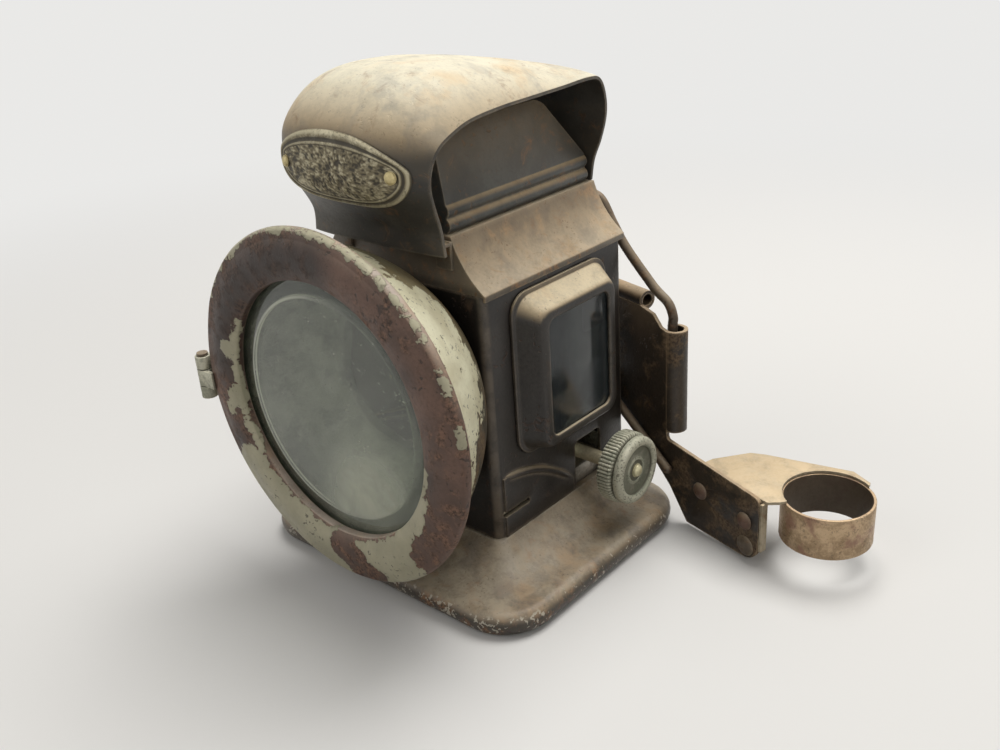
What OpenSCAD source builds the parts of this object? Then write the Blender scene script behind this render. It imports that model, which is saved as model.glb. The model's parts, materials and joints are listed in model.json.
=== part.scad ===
// Oil lamp for a bicycle: a square sheet case on an oil font, with a bell and a
// hinged glazed bezel in front, a hood over the chimney, side windows, a wick
// winder, and a wire bail at the back that carries the bracket and its clip.
// Millimetres, +Z up from the table. The bezel faces -Y, the winder is at +X.

/* [Case] */
// Width of the case across its two window walls
case_w = 56; // [46:0.5:68]
// Depth of the case from its bell wall to its back
case_d = 56; // [46:0.5:68]
// Height of the case's lower edge above the table
case_z = 14.2; // [13:0.1:18]
// Height of the case's front wall above the bell's bore
top_margin = 1; // [0.6:0.1:6]
// Radius of the upright corners of the case
case_r = 2.5; // [1:0.5:4]
// Thickness of the sheet that the lamp is pressed from
sheet = 0.8; // [0.6:0.1:1.2]
// How far the lower skirt stands proud of the window walls
skirt_proud = 0.5; // [0.2:0.1:1]

/* [Roof and chimney] */
// Height of the roof from the shoulder to the ridge
roof_h = 13; // [9:0.5:18]
// How far each roof side leans in from the case wall to the ridge
roof_lean = 8.7; // [5:0.1:12]
// Depth of the hollow in each roof side
roof_hollow = 1.3; // [0.4:0.1:2.5]
// Depth of the roof's lip below the shoulder
roof_lip = 1.6; // [1:0.1:3]
// Height of the chimney above the ridge
chimney_h = 23.5; // [16:0.5:26]
// Radius of the two beads round the chimney's foot
bead_r = 1.8; // [1:0.1:2.2]

/* [Hood] */
// How far the hood's open edges stand out beyond the ridge
hood_overhang = 5; // [3:0.1:8]
// Height of the hood's open edges above the ridge
hood_h = 27; // [25:0.5:34]
// Bow of the hood's crown between its open edges
crown_bow = 10.4; // [6:0.2:13]
// How far the hood's front hem stands before the case
hem_reach = 4.5; // [3.6:0.1:6]
// How far the hood's front hem hangs below the ridge
hem_drop = 3; // [2:0.1:5]
// Least height of the hem above the bell
hem_clear = 2.8; // [1:0.1:5]
// Thickness of the hood
hood_t = 0.8; // [0.6:0.1:1.2]
// Margin from the ends of the badge to the hood's open edges
badge_margin = 2.55; // [1.5:0.05:8]
// Height of the badge, measured along the hood
badge_h = 17.2; // [12:0.2:18]
// Thickness of the badge's rim
badge_t = 0.9; // [0.6:0.1:1.4]
// Width of the badge's rim
badge_rim = 1.3; // [0.8:0.1:2]

/* [Bell and bezel] */
// Height of the bell's lowest edge above the table
bell_clear = 13; // [11:0.5:20]
// Radius of the bell at its mouth
mouth_r = 42; // [38:0.5:50]
// Depth of the bell from the case to its mouth
bell_depth = 24; // [20:0.5:30]
// How far the bell bows out from a straight flare
bell_bow = 2.2; // [1:0.1:5]
// Margin from the bell's throat to the case's sides
throat_margin = 2; // [1:0.1:4]
// How far the bezel stands out beyond the bell's mouth
bezel_overhang = 3.6; // [2.6:0.1:6]
// Width of the bezel's face, from its edge to its opening
face_w = 12.6; // [9:0.1:18]
// Crown radius of the bezel's face
face_crown = 13; // [11:0.5:40]
// Depth of the front glass behind the bezel's face
glass_sink = 2.8; // [1.5:0.1:3.2]
// Thickness of the front glass
glass_t = 2.2; // [2:0.1:3]
// Width of the bevel ground on the front glass
bevel_w = 5.6; // [2:0.1:8]

/* [Bezel hinge] */
// Distance of the hinge pin outside the bezel's edge
hinge_out = 3.9; // [3.4:0.1:6]
// Length of the whole hinge
hinge_len = 12; // [9:0.5:18]
// Height of the hinge's middle below the lens axis
hinge_drop = 3; // [0:0.5:6]
// Outer radius of the hinge knuckles
knuckle_r = 2.1; // [1.7:0.1:2.6]
// Radius of the hinge pin
hinge_pin_r = 0.9; // [0.6:0.05:1.2]

/* [Side windows] */
// Half width of a window's opening
win_half = 12.3; // [9:0.1:13]
// Depth of the opening below the lens axis
win_below = 15.8; // [10:0.1:17]
// Height of the opening above the lens axis
win_above = 16; // [10:0.1:16.5]
// How far the window's frame stands out from the wall
frame_out = 6.8; // [4:0.1:9]
// Width of the frame round the opening, at the wall
frame_w = 7; // [5:0.1:7.2]
// Width of the flat round the opening, at the glass
frame_flat = 2.4; // [1.5:0.1:3.5]
// Thickness of a side glass
side_glass_t = 1.4; // [1:0.1:2]

/* [Oil font] */
// Reach of the font beyond the case at each side
font_side = 20; // [14:0.5:26]
// Reach of the font in front of the case
font_ahead = 19.5; // [14:0.5:22]
// Reach of the font behind the case
font_behind = 3; // [2:0.5:10]
// Radius of the font's corners
font_r = 14; // [8:0.5:18]
// Height of the font's rolled rim
rim_h = 6.6; // [5:0.2:8]
// How far the rolled rim curls in
rim_curl = 3; // [2:0.1:4]
// Height of the collar that the case slips over
collar_h = 5; // [3:0.1:5.2]

/* [Burner and wick] */
// Radius of the burner's opening in the font
burner_r = 13; // [11:0.5:15]
// Width of the wick
wick_w = 12.6; // [9:0.2:14]
// Thickness of the wick
wick_t = 2.2; // [1.4:0.1:2.6]
// Height of the top of the wick tube above the table
tube_z = 41; // [36:0.5:44]
// How far the wick stands out of its tube
wick_up = 2; // [1:0.1:4]

/* [Winder] */
// Place of the winder's spindle behind the case's centre
spindle_y = 8; // [6:0.5:10]
// Height of the spindle above the table
spindle_z = 23.5; // [23:0.1:26]
// Radius of the spindle
spindle_r = 1.9; // [1.4:0.1:2.2]
// Radius over the teeth of the feed wheels
wheel_r = 3.3; // [2.8:0.1:3.6]
// Teeth on each feed wheel
wheel_teeth = 12; // [8:1:16]
// Radius of the winder's knob
knob_r = 9.8; // [7:0.1:11]
// Thickness of the knob
knob_t = 7.4; // [5:0.1:9]
// Gap between the window frame and the back of the knob
knob_gap = 4.3; // [2:0.1:8]
// Ridges round the knob
knurls = 60; // [30:2:80]

/* [Bail and bracket] */
// Radius of the bail's wire
wire_r = 1.3; // [1:0.05:1.5]
// Distance of the bracket's pivot outside the case's side
pivot_out = 14.8; // [12:0.1:20]
// Distance of the bracket's pivot behind the case's back
pivot_back = 1.9; // [1.8:0.1:4]
// Yaw of the bracket's plate, its clip end forward
bracket_yaw = 15; // [10:0.5:20]
// Thickness of the bracket's plate
plate_t = 1; // [0.8:0.1:1.4]
// Length of the plate behind the case
plate_len = 46; // [30:1:50]
// Height of the top of the plate
plate_z1 = 60; // [52:0.5:64]
// Height of the lower end of the plate's curled edge
curl_z0 = 26; // [24.5:0.5:32]
// Height of the upper end of the plate's curled edge
curl_z1 = 56; // [46:0.5:58]
// Room round the bail's wire in the curled edge
curl_room = 1.1; // [0.9:0.05:1.5]
// Length of the arm beyond the pivot
arm_len = 36; // [30:0.5:44]
// Height of the arm's lower edge above the table
arm_z0 = 0.8; // [0.6:0.1:3]

/* [Clip] */
// Inner radius of the clip's ring
ring_r = 11.1; // [9:0.1:13]
// Height of the ring's band
ring_h = 11.6; // [8:0.1:13]
// Thickness of the clip's brass sheet
clip_t = 0.8; // [0.6:0.1:1.2]
// Height of the top of the clip's flange
flange_z = 20; // [18:0.1:21]

/* [Fits] */
// Gap between pieces that rest on or slide over each other
slip = 0.4; // [0.2:0.05:0.6]
// Gap between the case's edge and the font's deck
seat_gap = 0.2; // [0.1:0.05:0.4]
// Radial clearance of a turning pin or shaft
run = 0.08; // [0.03:0.01:0.1]
// Gap between fixed pieces that are fitted together
fixed_gap = 0.05; // [0.02:0.01:0.1]

/* [Hidden] */

half_w = case_w / 2;
half_d = case_d / 2;
deck_z = case_z - seat_gap;
throat_r = half_w - throat_margin;
bore_r = throat_r - 1;
mouth_s = half_d + bell_depth;
lens_z = mouth_r + bell_clear;
bell_rise = mouth_r - throat_r;
bell_chord = norm([bell_rise, bell_depth]);
bell_R = (bell_chord * bell_chord / 4 + bell_bow * bell_bow) / (2 * bell_bow);
// Middle of the bell's arc, in radius and distance forward of the case
bell_mid = [(throat_r + mouth_r) / 2, bell_depth / 2]
    - [bell_depth, -bell_rise] / bell_chord * (bell_R - bell_bow);
bell_at_hem = bell_mid.x + sqrt(bell_R * bell_R - pow(hem_reach - bell_mid.y, 2));
// The shoulder stands above the bell's bore, and high enough to lift the hem over the bell
shoulder_z = lens_z + max(bore_r + top_margin, bell_at_hem + hem_clear + hem_drop - roof_h);
ridge_z = shoulder_z + roof_h;
ridge_half = half_w - roof_lean;
bezel_r = mouth_r + bezel_overhang;
opening_r = bezel_r - face_w;
win_z0 = lens_z - win_below;
win_z1 = lens_z + win_above;
font_half = half_w + font_side;
font_front = half_d + font_ahead;
font_back = half_d + font_behind;
round_n = 72;
small_n = 32;

// Points of an arc about c, from angle a0 to a1
function arc(c, r, a0, a1, n) = [for (i = [0:n]) let (a = a0 + (a1 - a0) * i / n)
    c + r * [cos(a), sin(a)]];

// Outline of a rectangle with round corners, counter-clockwise
function plan(x0, x1, y0, y1, r, n = 6) = concat(
    arc([x1 - r, y0 + r], r, -90, 0, n), arc([x1 - r, y1 - r], r, 0, 90, n),
    arc([x0 + r, y1 - r], r, 90, 180, n), arc([x0 + r, y0 + r], r, 180, 270, n));

function case_plan(grow) = plan(-half_w - grow, half_w + grow, -half_d - grow, half_d + grow,
    case_r + grow);
function blend(a, b, s) = [for (i = [0:len(a) - 1]) a[i] * (1 - s) + b[i] * s];
function lift(outline, z) = [for (p = outline) [p.x, p.y, z]];

// Smooth value through the rows of a table, at place t in rows
function spline(rows, t) =
    let (last = len(rows) - 1, i = min(floor(t), last - 1), f = t - i,
         a = rows[max(i - 1, 0)], b = rows[i], c = rows[i + 1], d = rows[min(i + 2, last)])
    b + f / 2 * ((c - a) + f * ((2 * a - 5 * b + 4 * c - d) + f * (3 * (b - c) + d - a)));

// Skin between rings of points; each ring runs counter-clockwise seen from the last ring
module loft(rings, closed = false) {
    n = len(rings[0]);
    m = len(rings);
    spans = closed ? m : m - 1;
    sides = [for (i = [0:spans - 1], j = [0:n - 1], k = [0, 1])
        let (e = (i + 1) % m * n, a = i * n + j, b = i * n + (j + 1) % n, c = e + (j + 1) % n, d = e + j)
        k == 0 ? [a, d, c] : [a, c, b]];
    ends = closed ? [] : [[for (j = [0:n - 1]) j], [for (j = [n - 1:-1:0]) (m - 1) * n + j]];
    polyhedron([for (ring = rings) each ring], concat(sides, ends), convexity = 8);
}

// An outline in Y and Z, given thickness from x0 to x1
module across(x0, x1) { translate([x0, 0, 0]) rotate([90, 0, 90]) linear_extrude(x1 - x0) children(); }

// An outline in X and Z, given thickness from y0 to y1
module along(y0, y1) { translate([0, y1, 0]) rotate([90, 0, 0]) linear_extrude(y1 - y0) children(); }

// An outline of radius and distance forward, turned about the lens axis
module turned() { translate([0, 0, lens_z]) rotate([90, 0, 0]) rotate_extrude($fn = round_n) children(); }

// A domed rivet head standing on +Z
module rivet_head(r, h) {
    ball = (r * r + h * h) / (2 * h);
    rotate_extrude($fn = small_n) intersection() {
        translate([0, h - ball]) circle(ball, $fn = round_n);
        square([r, h]);
    }
}

/* Oil font: the root of the lamp, standing on the table */

function font_plan(inset) = plan(-font_half + inset, font_half - inset, -font_front + inset,
    font_back - inset, font_r - inset);
deck_margin = 0.6;
rim_steps = 6;
cove_steps = 5;
cove_power = 2.2;
burner_y = spindle_y - wheel_r - slip / 2 - wick_t / 2;

// Ring of the rolled rim at step i, with the skin taken in by t
function rim_ring(i, t) =
    let (a = -90 + 180 * i / rim_steps)
    lift(font_plan(rim_curl - (rim_curl - t) * cos(a)), rim_h / 2 + (rim_h / 2 - t) * sin(a));

// Ring of the hollow cove between the rim and the deck, with the skin taken in by t
function cove_ring(i, t) =
    let (s = i / cove_steps, z = rim_h - t + (deck_z - rim_h) * pow(s, cove_power))
    lift(blend(font_plan(rim_curl), case_plan(deck_margin - t), s), z);

// Round edge of the burner's hole, one point for each point of the deck's outline
function burner_ring(z) =
    let (n = len(case_plan(0)))
    [for (j = [0:n - 1]) let (a = -45 + (j - n / 8 + 0.5) * 360 / n)
        [burner_r * cos(a), burner_y + burner_r * sin(a), z]];

module oil_font() {
    color("#5b5148") loft(concat(
        [for (i = [0:rim_steps]) rim_ring(i, 0)], [for (i = [1:cove_steps]) cove_ring(i, 0)],
        [burner_ring(deck_z), burner_ring(deck_z - sheet)],
        [for (i = [cove_steps:-1:1]) cove_ring(i, sheet)],
        [for (i = [rim_steps:-1:0]) rim_ring(i, sheet)]), closed = true);
}

module font_bottom() {
    color("#3a342f") linear_extrude(sheet) polygon(font_plan(rim_curl + fixed_gap));
}

collar_out = -sheet - slip;
collar_z1 = deck_z + collar_h;

module font_collar() {
    color("#4a443c") translate([0, 0, deck_z]) linear_extrude(collar_h) difference() {
        polygon(case_plan(collar_out));
        polygon(case_plan(collar_out - sheet));
    }
}

// The catch: a flat spring inside the collar with a nib that shows in the case's slot, pressed in to clear it
catch_y = -half_d + 7;
catch_w = 8;
nib_z = collar_z1 + 1.2;
nib_h = 0.9;
spring_t = 0.5;
spring_x = half_w + collar_out - sheet;
catch_rivet_r = 0.9;

module catch_spring() {
    color("#b9b3a4") difference() {
        across(spring_x - spring_t - fixed_gap, spring_x - fixed_gap)
            polygon(plan(catch_y - catch_w / 2, catch_y + catch_w / 2,
                deck_z + seat_gap, nib_z + nib_h, 0.8, 3));
        for (dy = [-2, 2]) translate([spring_x, catch_y + dy, deck_z + collar_h / 2]) rotate([0, 90, 0])
            cylinder(h = 2, r = catch_rivet_r / 2 + fixed_gap, center = true, $fn = small_n);
    }
    color("#b9b3a4") translate([spring_x - fixed_gap, catch_y - catch_w / 2, nib_z])
        cube([half_w - sheet - fixed_gap - spring_x, catch_w, nib_h]);
}

module catch_rivets() {
    color("#8a8272") for (dy = [-2, 2])
        translate([spring_x - spring_t - 2 * fixed_gap, catch_y + dy, deck_z + collar_h / 2])
        rotate([0, -90, 0]) rivet_head(catch_rivet_r, 0.5);
}

/* Burner and wick */

tube_wall = 0.8;
tube_in = slip;
tube_w = wick_w + 2 * (tube_in + tube_wall);
tube_t = wick_t + 2 * (tube_in + tube_wall);
burner_base_z = deck_z + 3;
burner_top_z = burner_base_z + 1.2;
wick_travel = 6;
wheel_x = 3.2;
wheel_t = 1.4;
cheek_x = 6.2;
cheek_t = 1;

// A flat outline with round ends, w long and t thick, as of the wick tube
module flat_outline(w, t) { polygon(plan(-w / 2, w / 2, -t / 2, t / 2, min(t / 2 - 0.05, 1.6), 4)); }

module burner_collar() {
    color("#8f7a48") translate([0, burner_y, 0]) difference() {
        union() {
            translate([0, 0, deck_z - 3]) cylinder(h = 6 - fixed_gap, r = burner_r - 0.6, $fn = round_n);
            translate([0, 0, deck_z + fixed_gap]) cylinder(h = 0.9, r = burner_r + 1.6, $fn = round_n);
        }
        translate([0, 0, deck_z - 4]) cylinder(h = 9, r = burner_r - 1.5, $fn = round_n);
    }
}

module burner_plate() {
    color("#a08a52") translate([0, burner_y, 0]) difference() {
        union() {
            translate([0, 0, burner_base_z]) cylinder(h = 1.2, r = burner_r + 0.6, $fn = round_n);
            translate([0, 0, deck_z - 2]) cylinder(h = 5, r = burner_r - 1.5 - fixed_gap, $fn = round_n);
        }
        translate([0, 0, deck_z - 2.8]) cylinder(h = 5, r = burner_r - 2.4, $fn = round_n);
        translate([0, 0, deck_z]) linear_extrude(9)
            flat_outline(tube_w + 2 * fixed_gap, tube_t + 2 * fixed_gap);
        for (a = [45:90:315]) rotate(a) translate([burner_r - 3.4, 0, 0])
            cylinder(h = 40, r = 0.9, $fn = small_n);
    }
}

module wick_tube() {
    tube_z0 = deck_z - 4;
    slot_h = 2 * (wheel_r + slip);
    color("#b59a5c") translate([0, burner_y, 0]) difference() {
        translate([0, 0, tube_z0]) linear_extrude(tube_z - tube_z0) flat_outline(tube_w, tube_t);
        translate([0, 0, tube_z0 - 1]) linear_extrude(tube_z - tube_z0 + 2)
            flat_outline(wick_w + 2 * tube_in, wick_t + 2 * tube_in);
        for (side = [-1, 1]) translate([side * wheel_x - wheel_t / 2 - slip, 0, spindle_z - slot_h / 2])
            cube([wheel_t + 2 * slip, tube_t, slot_h]);
    }
}

module winder_bearings() {
    cheek_y0 = burner_y + tube_t / 2 + fixed_gap;
    cheek_y1 = spindle_y + spindle_r + 1.6;
    color("#a08a52") for (side = [-1, 1]) difference() {
        across(side * cheek_x - cheek_t / 2, side * cheek_x + cheek_t / 2)
            polygon(plan(cheek_y0, cheek_y1, burner_top_z, spindle_z + spindle_r + 1.6, 1.2, 4));
        translate([side * cheek_x, spindle_y, spindle_z]) rotate([0, 90, 0])
            cylinder(h = 2 * cheek_t, r = spindle_r + run, center = true, $fn = small_n);
    }
}

module wick() {
    wick_z0 = sheet + wick_travel + 1.2;
    color("#cfc3a4") translate([0, burner_y, wick_z0]) linear_extrude(tube_z + wick_up - wick_z0)
        flat_outline(wick_w, wick_t);
}

/* Winder */

knob_x0 = half_w + frame_out + knob_gap;
spindle_x0 = -cheek_x - 2.4;
rim_x = knob_t * 0.62;

module spindle_axis(x) { translate([x, spindle_y, spindle_z]) rotate([0, 90, 0]) children(); }

module winder_spindle() {
    length = knob_x0 + knob_t * 0.55 - spindle_x0;
    color("#8d8c78") spindle_axis(spindle_x0) cylinder(h = length, r = spindle_r, $fn = small_n);
}

module feed_wheels() {
    tooth = 0.9;
    color("#9b8450") for (side = [-1, 1]) spindle_axis(side * wheel_x - wheel_t / 2) difference() {
        linear_extrude(wheel_t) polygon([for (i = [0:wheel_teeth - 1], k = [0, 1])
            let (a = 360 * (i + k * 0.5) / wheel_teeth, r = k == 0 ? wheel_r : wheel_r - tooth)
                r * [cos(a), sin(a)]]);
        translate([0, 0, -1]) cylinder(h = wheel_t + 2, r = spindle_r + fixed_gap / 2, $fn = small_n);
    }
}

module winder_knob() {
    root_r = knob_r - 0.35;
    color("#8d907c") spindle_axis(knob_x0) difference() {
        union() {
            linear_extrude(rim_x) polygon([for (i = [0:knurls - 1], k = [0, 1])
                let (a = 360 * (i + k * 0.5) / knurls, r = k == 0 ? knob_r : root_r)
                    r * [cos(a), sin(a)]]);
            translate([0, 0, rim_x - 0.5]) cylinder(h = 1.1, r = root_r - 0.9, $fn = round_n);
            translate([0, 0, rim_x + 0.5]) rotate_extrude($fn = round_n)
                polygon(concat([[0, 0], [knob_r - 0.5, 0]],
                    arc([knob_r - 1.7, knob_t - rim_x - 1.7], 1.2, 0, 90, 4),
                    [[0, knob_t - rim_x - 0.5]]));
        }
        translate([0, 0, knob_t - 1.1]) cylinder(h = 3, r = knob_r - 3, $fn = round_n);
        translate([0, 0, -1])
            cylinder(h = knob_t * 0.55 + 1 + fixed_gap, r = spindle_r + fixed_gap / 2, $fn = small_n);
        translate([0, 0, -1]) cylinder(h = 2, r = knob_r - 3.2, $fn = round_n);
    }
}

module knob_stud() {
    color("#9a9a86") spindle_axis(knob_x0 + knob_t - 1.1 + fixed_gap) rivet_head(1.9, 1.5);
}

/* Case and roof */

case_top = shoulder_z - 0.5;
slot_y0 = catch_y - catch_w / 2 - 1;
slot_y1 = catch_y + catch_w / 2 + 1;
notch_y0 = spindle_y - 3.6;
notch_y1 = spindle_y + 8;
notch_z = spindle_z + 4.6;
frame_out_half = win_half + frame_w;
frame_z0 = win_z0 - frame_w + 1.8;
frame_z1 = win_z1 + frame_w;

function window(grow_y, z0, z1, r) = plan(-win_half - grow_y, win_half + grow_y, z0, z1, r);

// The skirt's raised part: its top edge bows down from front to back
skirt_z1 = 31;
skirt_fall = 13;
skirt_y0 = -half_d + case_r;
skirt_y1 = notch_y0 - 1.4;
function skirt_edge(steps) = [for (i = [steps:-1:0])
    [skirt_y0 + (skirt_y1 - skirt_y0) * i / steps,
        skirt_z1 - skirt_fall * pow(i / steps, 2)]];

module case_shell() {
    color("#2c2621") difference() {
        union() {
            translate([0, 0, case_z]) linear_extrude(case_top - case_z) polygon(case_plan(0));
            for (side = [-1, 1]) across(side * half_w - skirt_proud, side * half_w + skirt_proud)
                polygon(concat([[skirt_y0, case_z], [skirt_y1, case_z]], skirt_edge(10)));
        }
        translate([0, 0, case_z - 1]) linear_extrude(case_top - case_z + 2) polygon(case_plan(-sheet));
        along(-half_d - 2, -half_d + 2) translate([0, lens_z]) circle(bore_r, $fn = round_n);
        across(-case_w, case_w) polygon(window(2.6, win_z0 - 1.8, win_z1 + 2.4, 3));
        across(half_w - 2, half_w + 2)
            polygon(plan(slot_y0, slot_y1, nib_z - 0.35, nib_z + nib_h + 0.35, 0.5, 3));
        across(half_w - 2, half_w + 2) polygon(plan(notch_y0, notch_y1, case_z - 3, notch_z, 1.6));
    }
}

// Side view of one roof wall: the sloping sides are hollowed by a cylinder along Y
module roof_outline(grow) {
    foot = half_w + sheet + grow;
    top = ridge_half + grow;
    run_x = roof_lean + sheet;
    chord = norm([run_x, roof_h]);
    hollow_r = (chord * chord / 4 + roof_hollow * roof_hollow) / (2 * roof_hollow);
    out = [roof_h, run_x] / chord;
    mid = [(foot + top) / 2, shoulder_z + roof_h / 2];
    difference() {
        polygon([[-foot, shoulder_z - roof_lip + grow * 2], [foot, shoulder_z - roof_lip + grow * 2],
            [foot, shoulder_z], [top, ridge_z + grow],
            [-top, ridge_z + grow], [-foot, shoulder_z]]);
        for (side = [-1, 1]) translate([side * (mid.x + out.x * (hollow_r - roof_hollow)),
            mid.y + out.y * (hollow_r - roof_hollow)])
            circle(hollow_r, $fn = 180);
    }
}

bead_out = 0.55 * bead_r;
chimney_half = ridge_half - 0.7 - bead_out;
chimney_y0 = -half_d + 1;
chimney_y1 = half_d - 1.6;

module roof() {
    color("#6f6455") difference() {
        along(-half_d, half_d) roof_outline(0);
        along(-half_d + sheet, half_d - sheet) roof_outline(-sheet + fixed_gap);
        along(-half_d - 1, half_d + 1) polygon([[-half_w - fixed_gap, 0], [half_w + fixed_gap, 0],
            [half_w + fixed_gap, case_top + fixed_gap], [-half_w - fixed_gap, case_top + fixed_gap]]);
        translate([0, 0, ridge_z - 4]) linear_extrude(8)
            polygon(plan(-chimney_half + sheet, chimney_half - sheet, chimney_y0 + 2 * sheet,
                chimney_y1 - 2 * sheet, 1.5));
    }
}

// Chimney: two low beads at the foot, then walls that lean in, open at the top under the hood
chimney_lean = 4.2;
module chimney_outline(grow) {
    foot = chimney_half + grow;
    top = chimney_half - chimney_lean + grow;
    polygon([[-foot, ridge_z], [foot, ridge_z], [foot, ridge_z + 4 * bead_r], [top, ridge_z + chimney_h],
        [-top, ridge_z + chimney_h], [-foot, ridge_z + 4 * bead_r]]);
    if (grow == 0) for (side = [-1, 1], k = [0, 1])
        translate([side * (foot + bead_out - bead_r - 0.2 * k), ridge_z + bead_r * (1.05 + 1.9 * k)])
        circle(bead_r, $fn = small_n);
}

module chimney() {
    step = 4 * bead_r;
    slope = chimney_h - step;
    top = ridge_z + chimney_h;
    side_view = concat([[chimney_y0, ridge_z], [chimney_y1, ridge_z], [chimney_y1, ridge_z + step]],
        arc([chimney_y1 - slope * 0.95, top - 6], 6, 45, 90, 4),
        arc([chimney_y0 + slope * 0.42, top - 6], 6, 90, 165, 5),
        [[chimney_y0, ridge_z + step]]);
    color("#4f4a44") difference() {
        intersection() {
            along(chimney_y0, chimney_y1) chimney_outline(0);
            across(-half_w, half_w) polygon(side_view);
        }
        along(chimney_y0 + sheet, chimney_y1 - sheet) chimney_core();
    }
}

module chimney_core() {
    foot = chimney_half - sheet;
    top = foot - chimney_lean * (chimney_h + 3) / chimney_h;
    polygon([[-foot, ridge_z - 1], [foot, ridge_z - 1], [foot, ridge_z + 4 * bead_r],
        [top, ridge_z + chimney_h + 3],
        [-top, ridge_z + chimney_h + 3], [-foot, ridge_z + 4 * bead_r]]);
}

/* Hood: one strip from the front hem over the crown to the back of the ridge */

hood_top = ridge_z + hood_h;
hood_half = ridge_half + hood_overhang;
hem_y = -half_d - hem_reach;
bow_power = 3.6;
// Rows of distance along Y, height, half width of the strip and bow at its middle
hood_rows = [
    [hem_y, ridge_z - hem_drop, hood_half - 2, 1],
    [hem_y - 0.3, ridge_z + 3, hood_half - 2.4, 1.4],
    [hem_y - 2.9, ridge_z + 9.2, hood_half - 1.3, 3],
    [hem_y - 4.9, ridge_z + 14, hood_half - 0.1, crown_bow * 0.48],
    [hem_y - 4.6, hood_top - 8.8, hood_half + 0.4, crown_bow * 0.63],
    [hem_y - 3, hood_top - 4.9, hood_half + 1.3, crown_bow * 0.77],
    [hem_y + 1, hood_top - 2.5, hood_half + 1.7, crown_bow * 0.96],
    [hem_y + 7.2, hood_top - 0.7, hood_half + 1.7, crown_bow],
    [-half_d * 0.53, hood_top + 0.1, hood_half + 1.4, crown_bow * 0.9],
    [-half_d * 0.14, hood_top + 0.2, hood_half + 0.9, crown_bow * 0.76],
    [half_d * 0.3, hood_top + 0.3, hood_half + 0.4, crown_bow * 0.54],
    [half_d * 0.73, hood_top + 0.5, hood_half, crown_bow * 0.25],
    [half_d - 3, hood_top - 0.6, hood_half - 0.2, 1.4],
    [half_d - 0.9, hood_top - 5, hood_half - 0.3, 1.1],
    [half_d - 0.6, hood_top - 10, hood_half - 0.6, 0.9],
    [half_d - 0.5, ridge_z + 11, ridge_half + 2.6, 0.7],
    [half_d - 0.5, ridge_z + 5.5, ridge_half + 0.3, 0.5],
    [half_d - 0.5, ridge_z + fixed_gap, ridge_half - 0.7, 0.3]];
hood_steps = 2;
hood_across = 14;

// Outward normal of the strip in the YZ plane, at place t in rows
function hood_normal(t) =
    let (e = 0.05, a = spline(hood_rows, max(t - e, 0)),
        b = spline(hood_rows, min(t + e, len(hood_rows) - 1)), v = [b[0] - a[0], b[1] - a[1]])
    [-v.y, v.x] / norm(v);

// Point on the hood at place t in rows, x from the middle, raised by h from its inner skin
function hood_point(t, x, h) =
    let (row = spline(hood_rows, t), n = hood_normal(t), f = abs(x) / row[2],
        d = row[3] * (1 - pow(f, bow_power)) + h)
    [x, row[0] + n.x * d, row[1] + n.y * d];

function hood_ring(t) =
    let (half = spline(hood_rows, t)[2])
    concat([for (j = [0:hood_across]) hood_point(t, half * (2 * j / hood_across - 1), 0)],
        [for (j = [hood_across:-1:0]) hood_point(t, half * (2 * j / hood_across - 1), hood_t)]);

module hood() {
    spans = (len(hood_rows) - 1) * hood_steps;
    color("#8b7b60") loft([for (i = [0:spans]) hood_ring(i / hood_steps)]);
}

// Two ears that tie the hood's front hem to the front of the roof
module hood_ears() {
    ear_x = hood_half - 7;
    ear_w = 5;
    ear_y0 = hood_point(0.3, ear_x + ear_w / 2, 0).y + 0.15;
    color("#4f463a") for (side = [-1, 1]) translate([side * ear_x, 0, 0]) {
        translate([-ear_w / 2, -half_d - sheet - fixed_gap, ridge_z - 8]) cube([ear_w, sheet, 7]);
        translate([-ear_w / 2, ear_y0, ridge_z - 2]) cube([ear_w, -half_d - fixed_gap - ear_y0, sheet]);
        translate([-ear_w / 2, ear_y0, ridge_z - 2]) cube([ear_w, sheet, 3]);
    }
}

// The badge: a plain oval plate that follows the hood, with a raised rim
badge_t0 = 3.55;
badge_w = 2 * (hood_half - badge_margin);
badge_rivet_r = 1.5;
badge_rivet_x = badge_w / 2 - badge_rim - badge_rivet_r - 1.4;
badge_span = norm(hood_point(badge_t0 + 1, 0, hood_t) - hood_point(badge_t0 - 1, 0, hood_t)) / 2;
badge_steps = 36;
badge_lift = 0.3;
badge_oval = 0.86;
badge_field = badge_t * 0.6;

// Sine or cosine of the badge's oval, squarer than a true ellipse
function oval(v) = pow(abs(v), badge_oval) * sign(v);

// Ring of the badge at a share of its size, taken in by inset and raised by h from the hood
function badge_ring(size, h, inset = 0) = [for (i = [0:badge_steps - 1])
    let (a = -360 * i / badge_steps, x = size * badge_w / 2 - inset, y = size * badge_h / 2 - inset)
    hood_point(badge_t0 + oval(sin(a)) * y / badge_span, oval(cos(a)) * x, hood_t + h)];

module badge_plate() {
    color("#6d6047") loft(concat([for (s = [0.03, 0.25, 0.5, 0.75, 1]) badge_ring(s, badge_lift)],
        [badge_ring(1, badge_t - 0.2), badge_ring(1, badge_t, 0.3)],
        [badge_ring(1, badge_t, badge_rim - 0.4), badge_ring(1, badge_field, badge_rim)],
        [for (s = [0.6, 0.3, 0.03]) badge_ring(s, badge_field)]));
}

module badge_rivets() {
    n = hood_normal(badge_t0);
    row = spline(hood_rows, badge_t0);
    tilt = atan2(n.x, n.y);
    lean = atan(bow_power * row[3] * pow(badge_rivet_x / row[2], bow_power - 1) / row[2]);
    color("#9a9078") for (side = [-1, 1])
        translate(hood_point(badge_t0, side * badge_rivet_x, hood_t + badge_field + 0.15))
        rotate([-tilt, 0, 0]) rotate([0, side * lean, 0]) rivet_head(badge_rivet_r, 0.9);
}

/* Bell, reflector, bezel and glass */

lip_r = 0.9;

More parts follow.
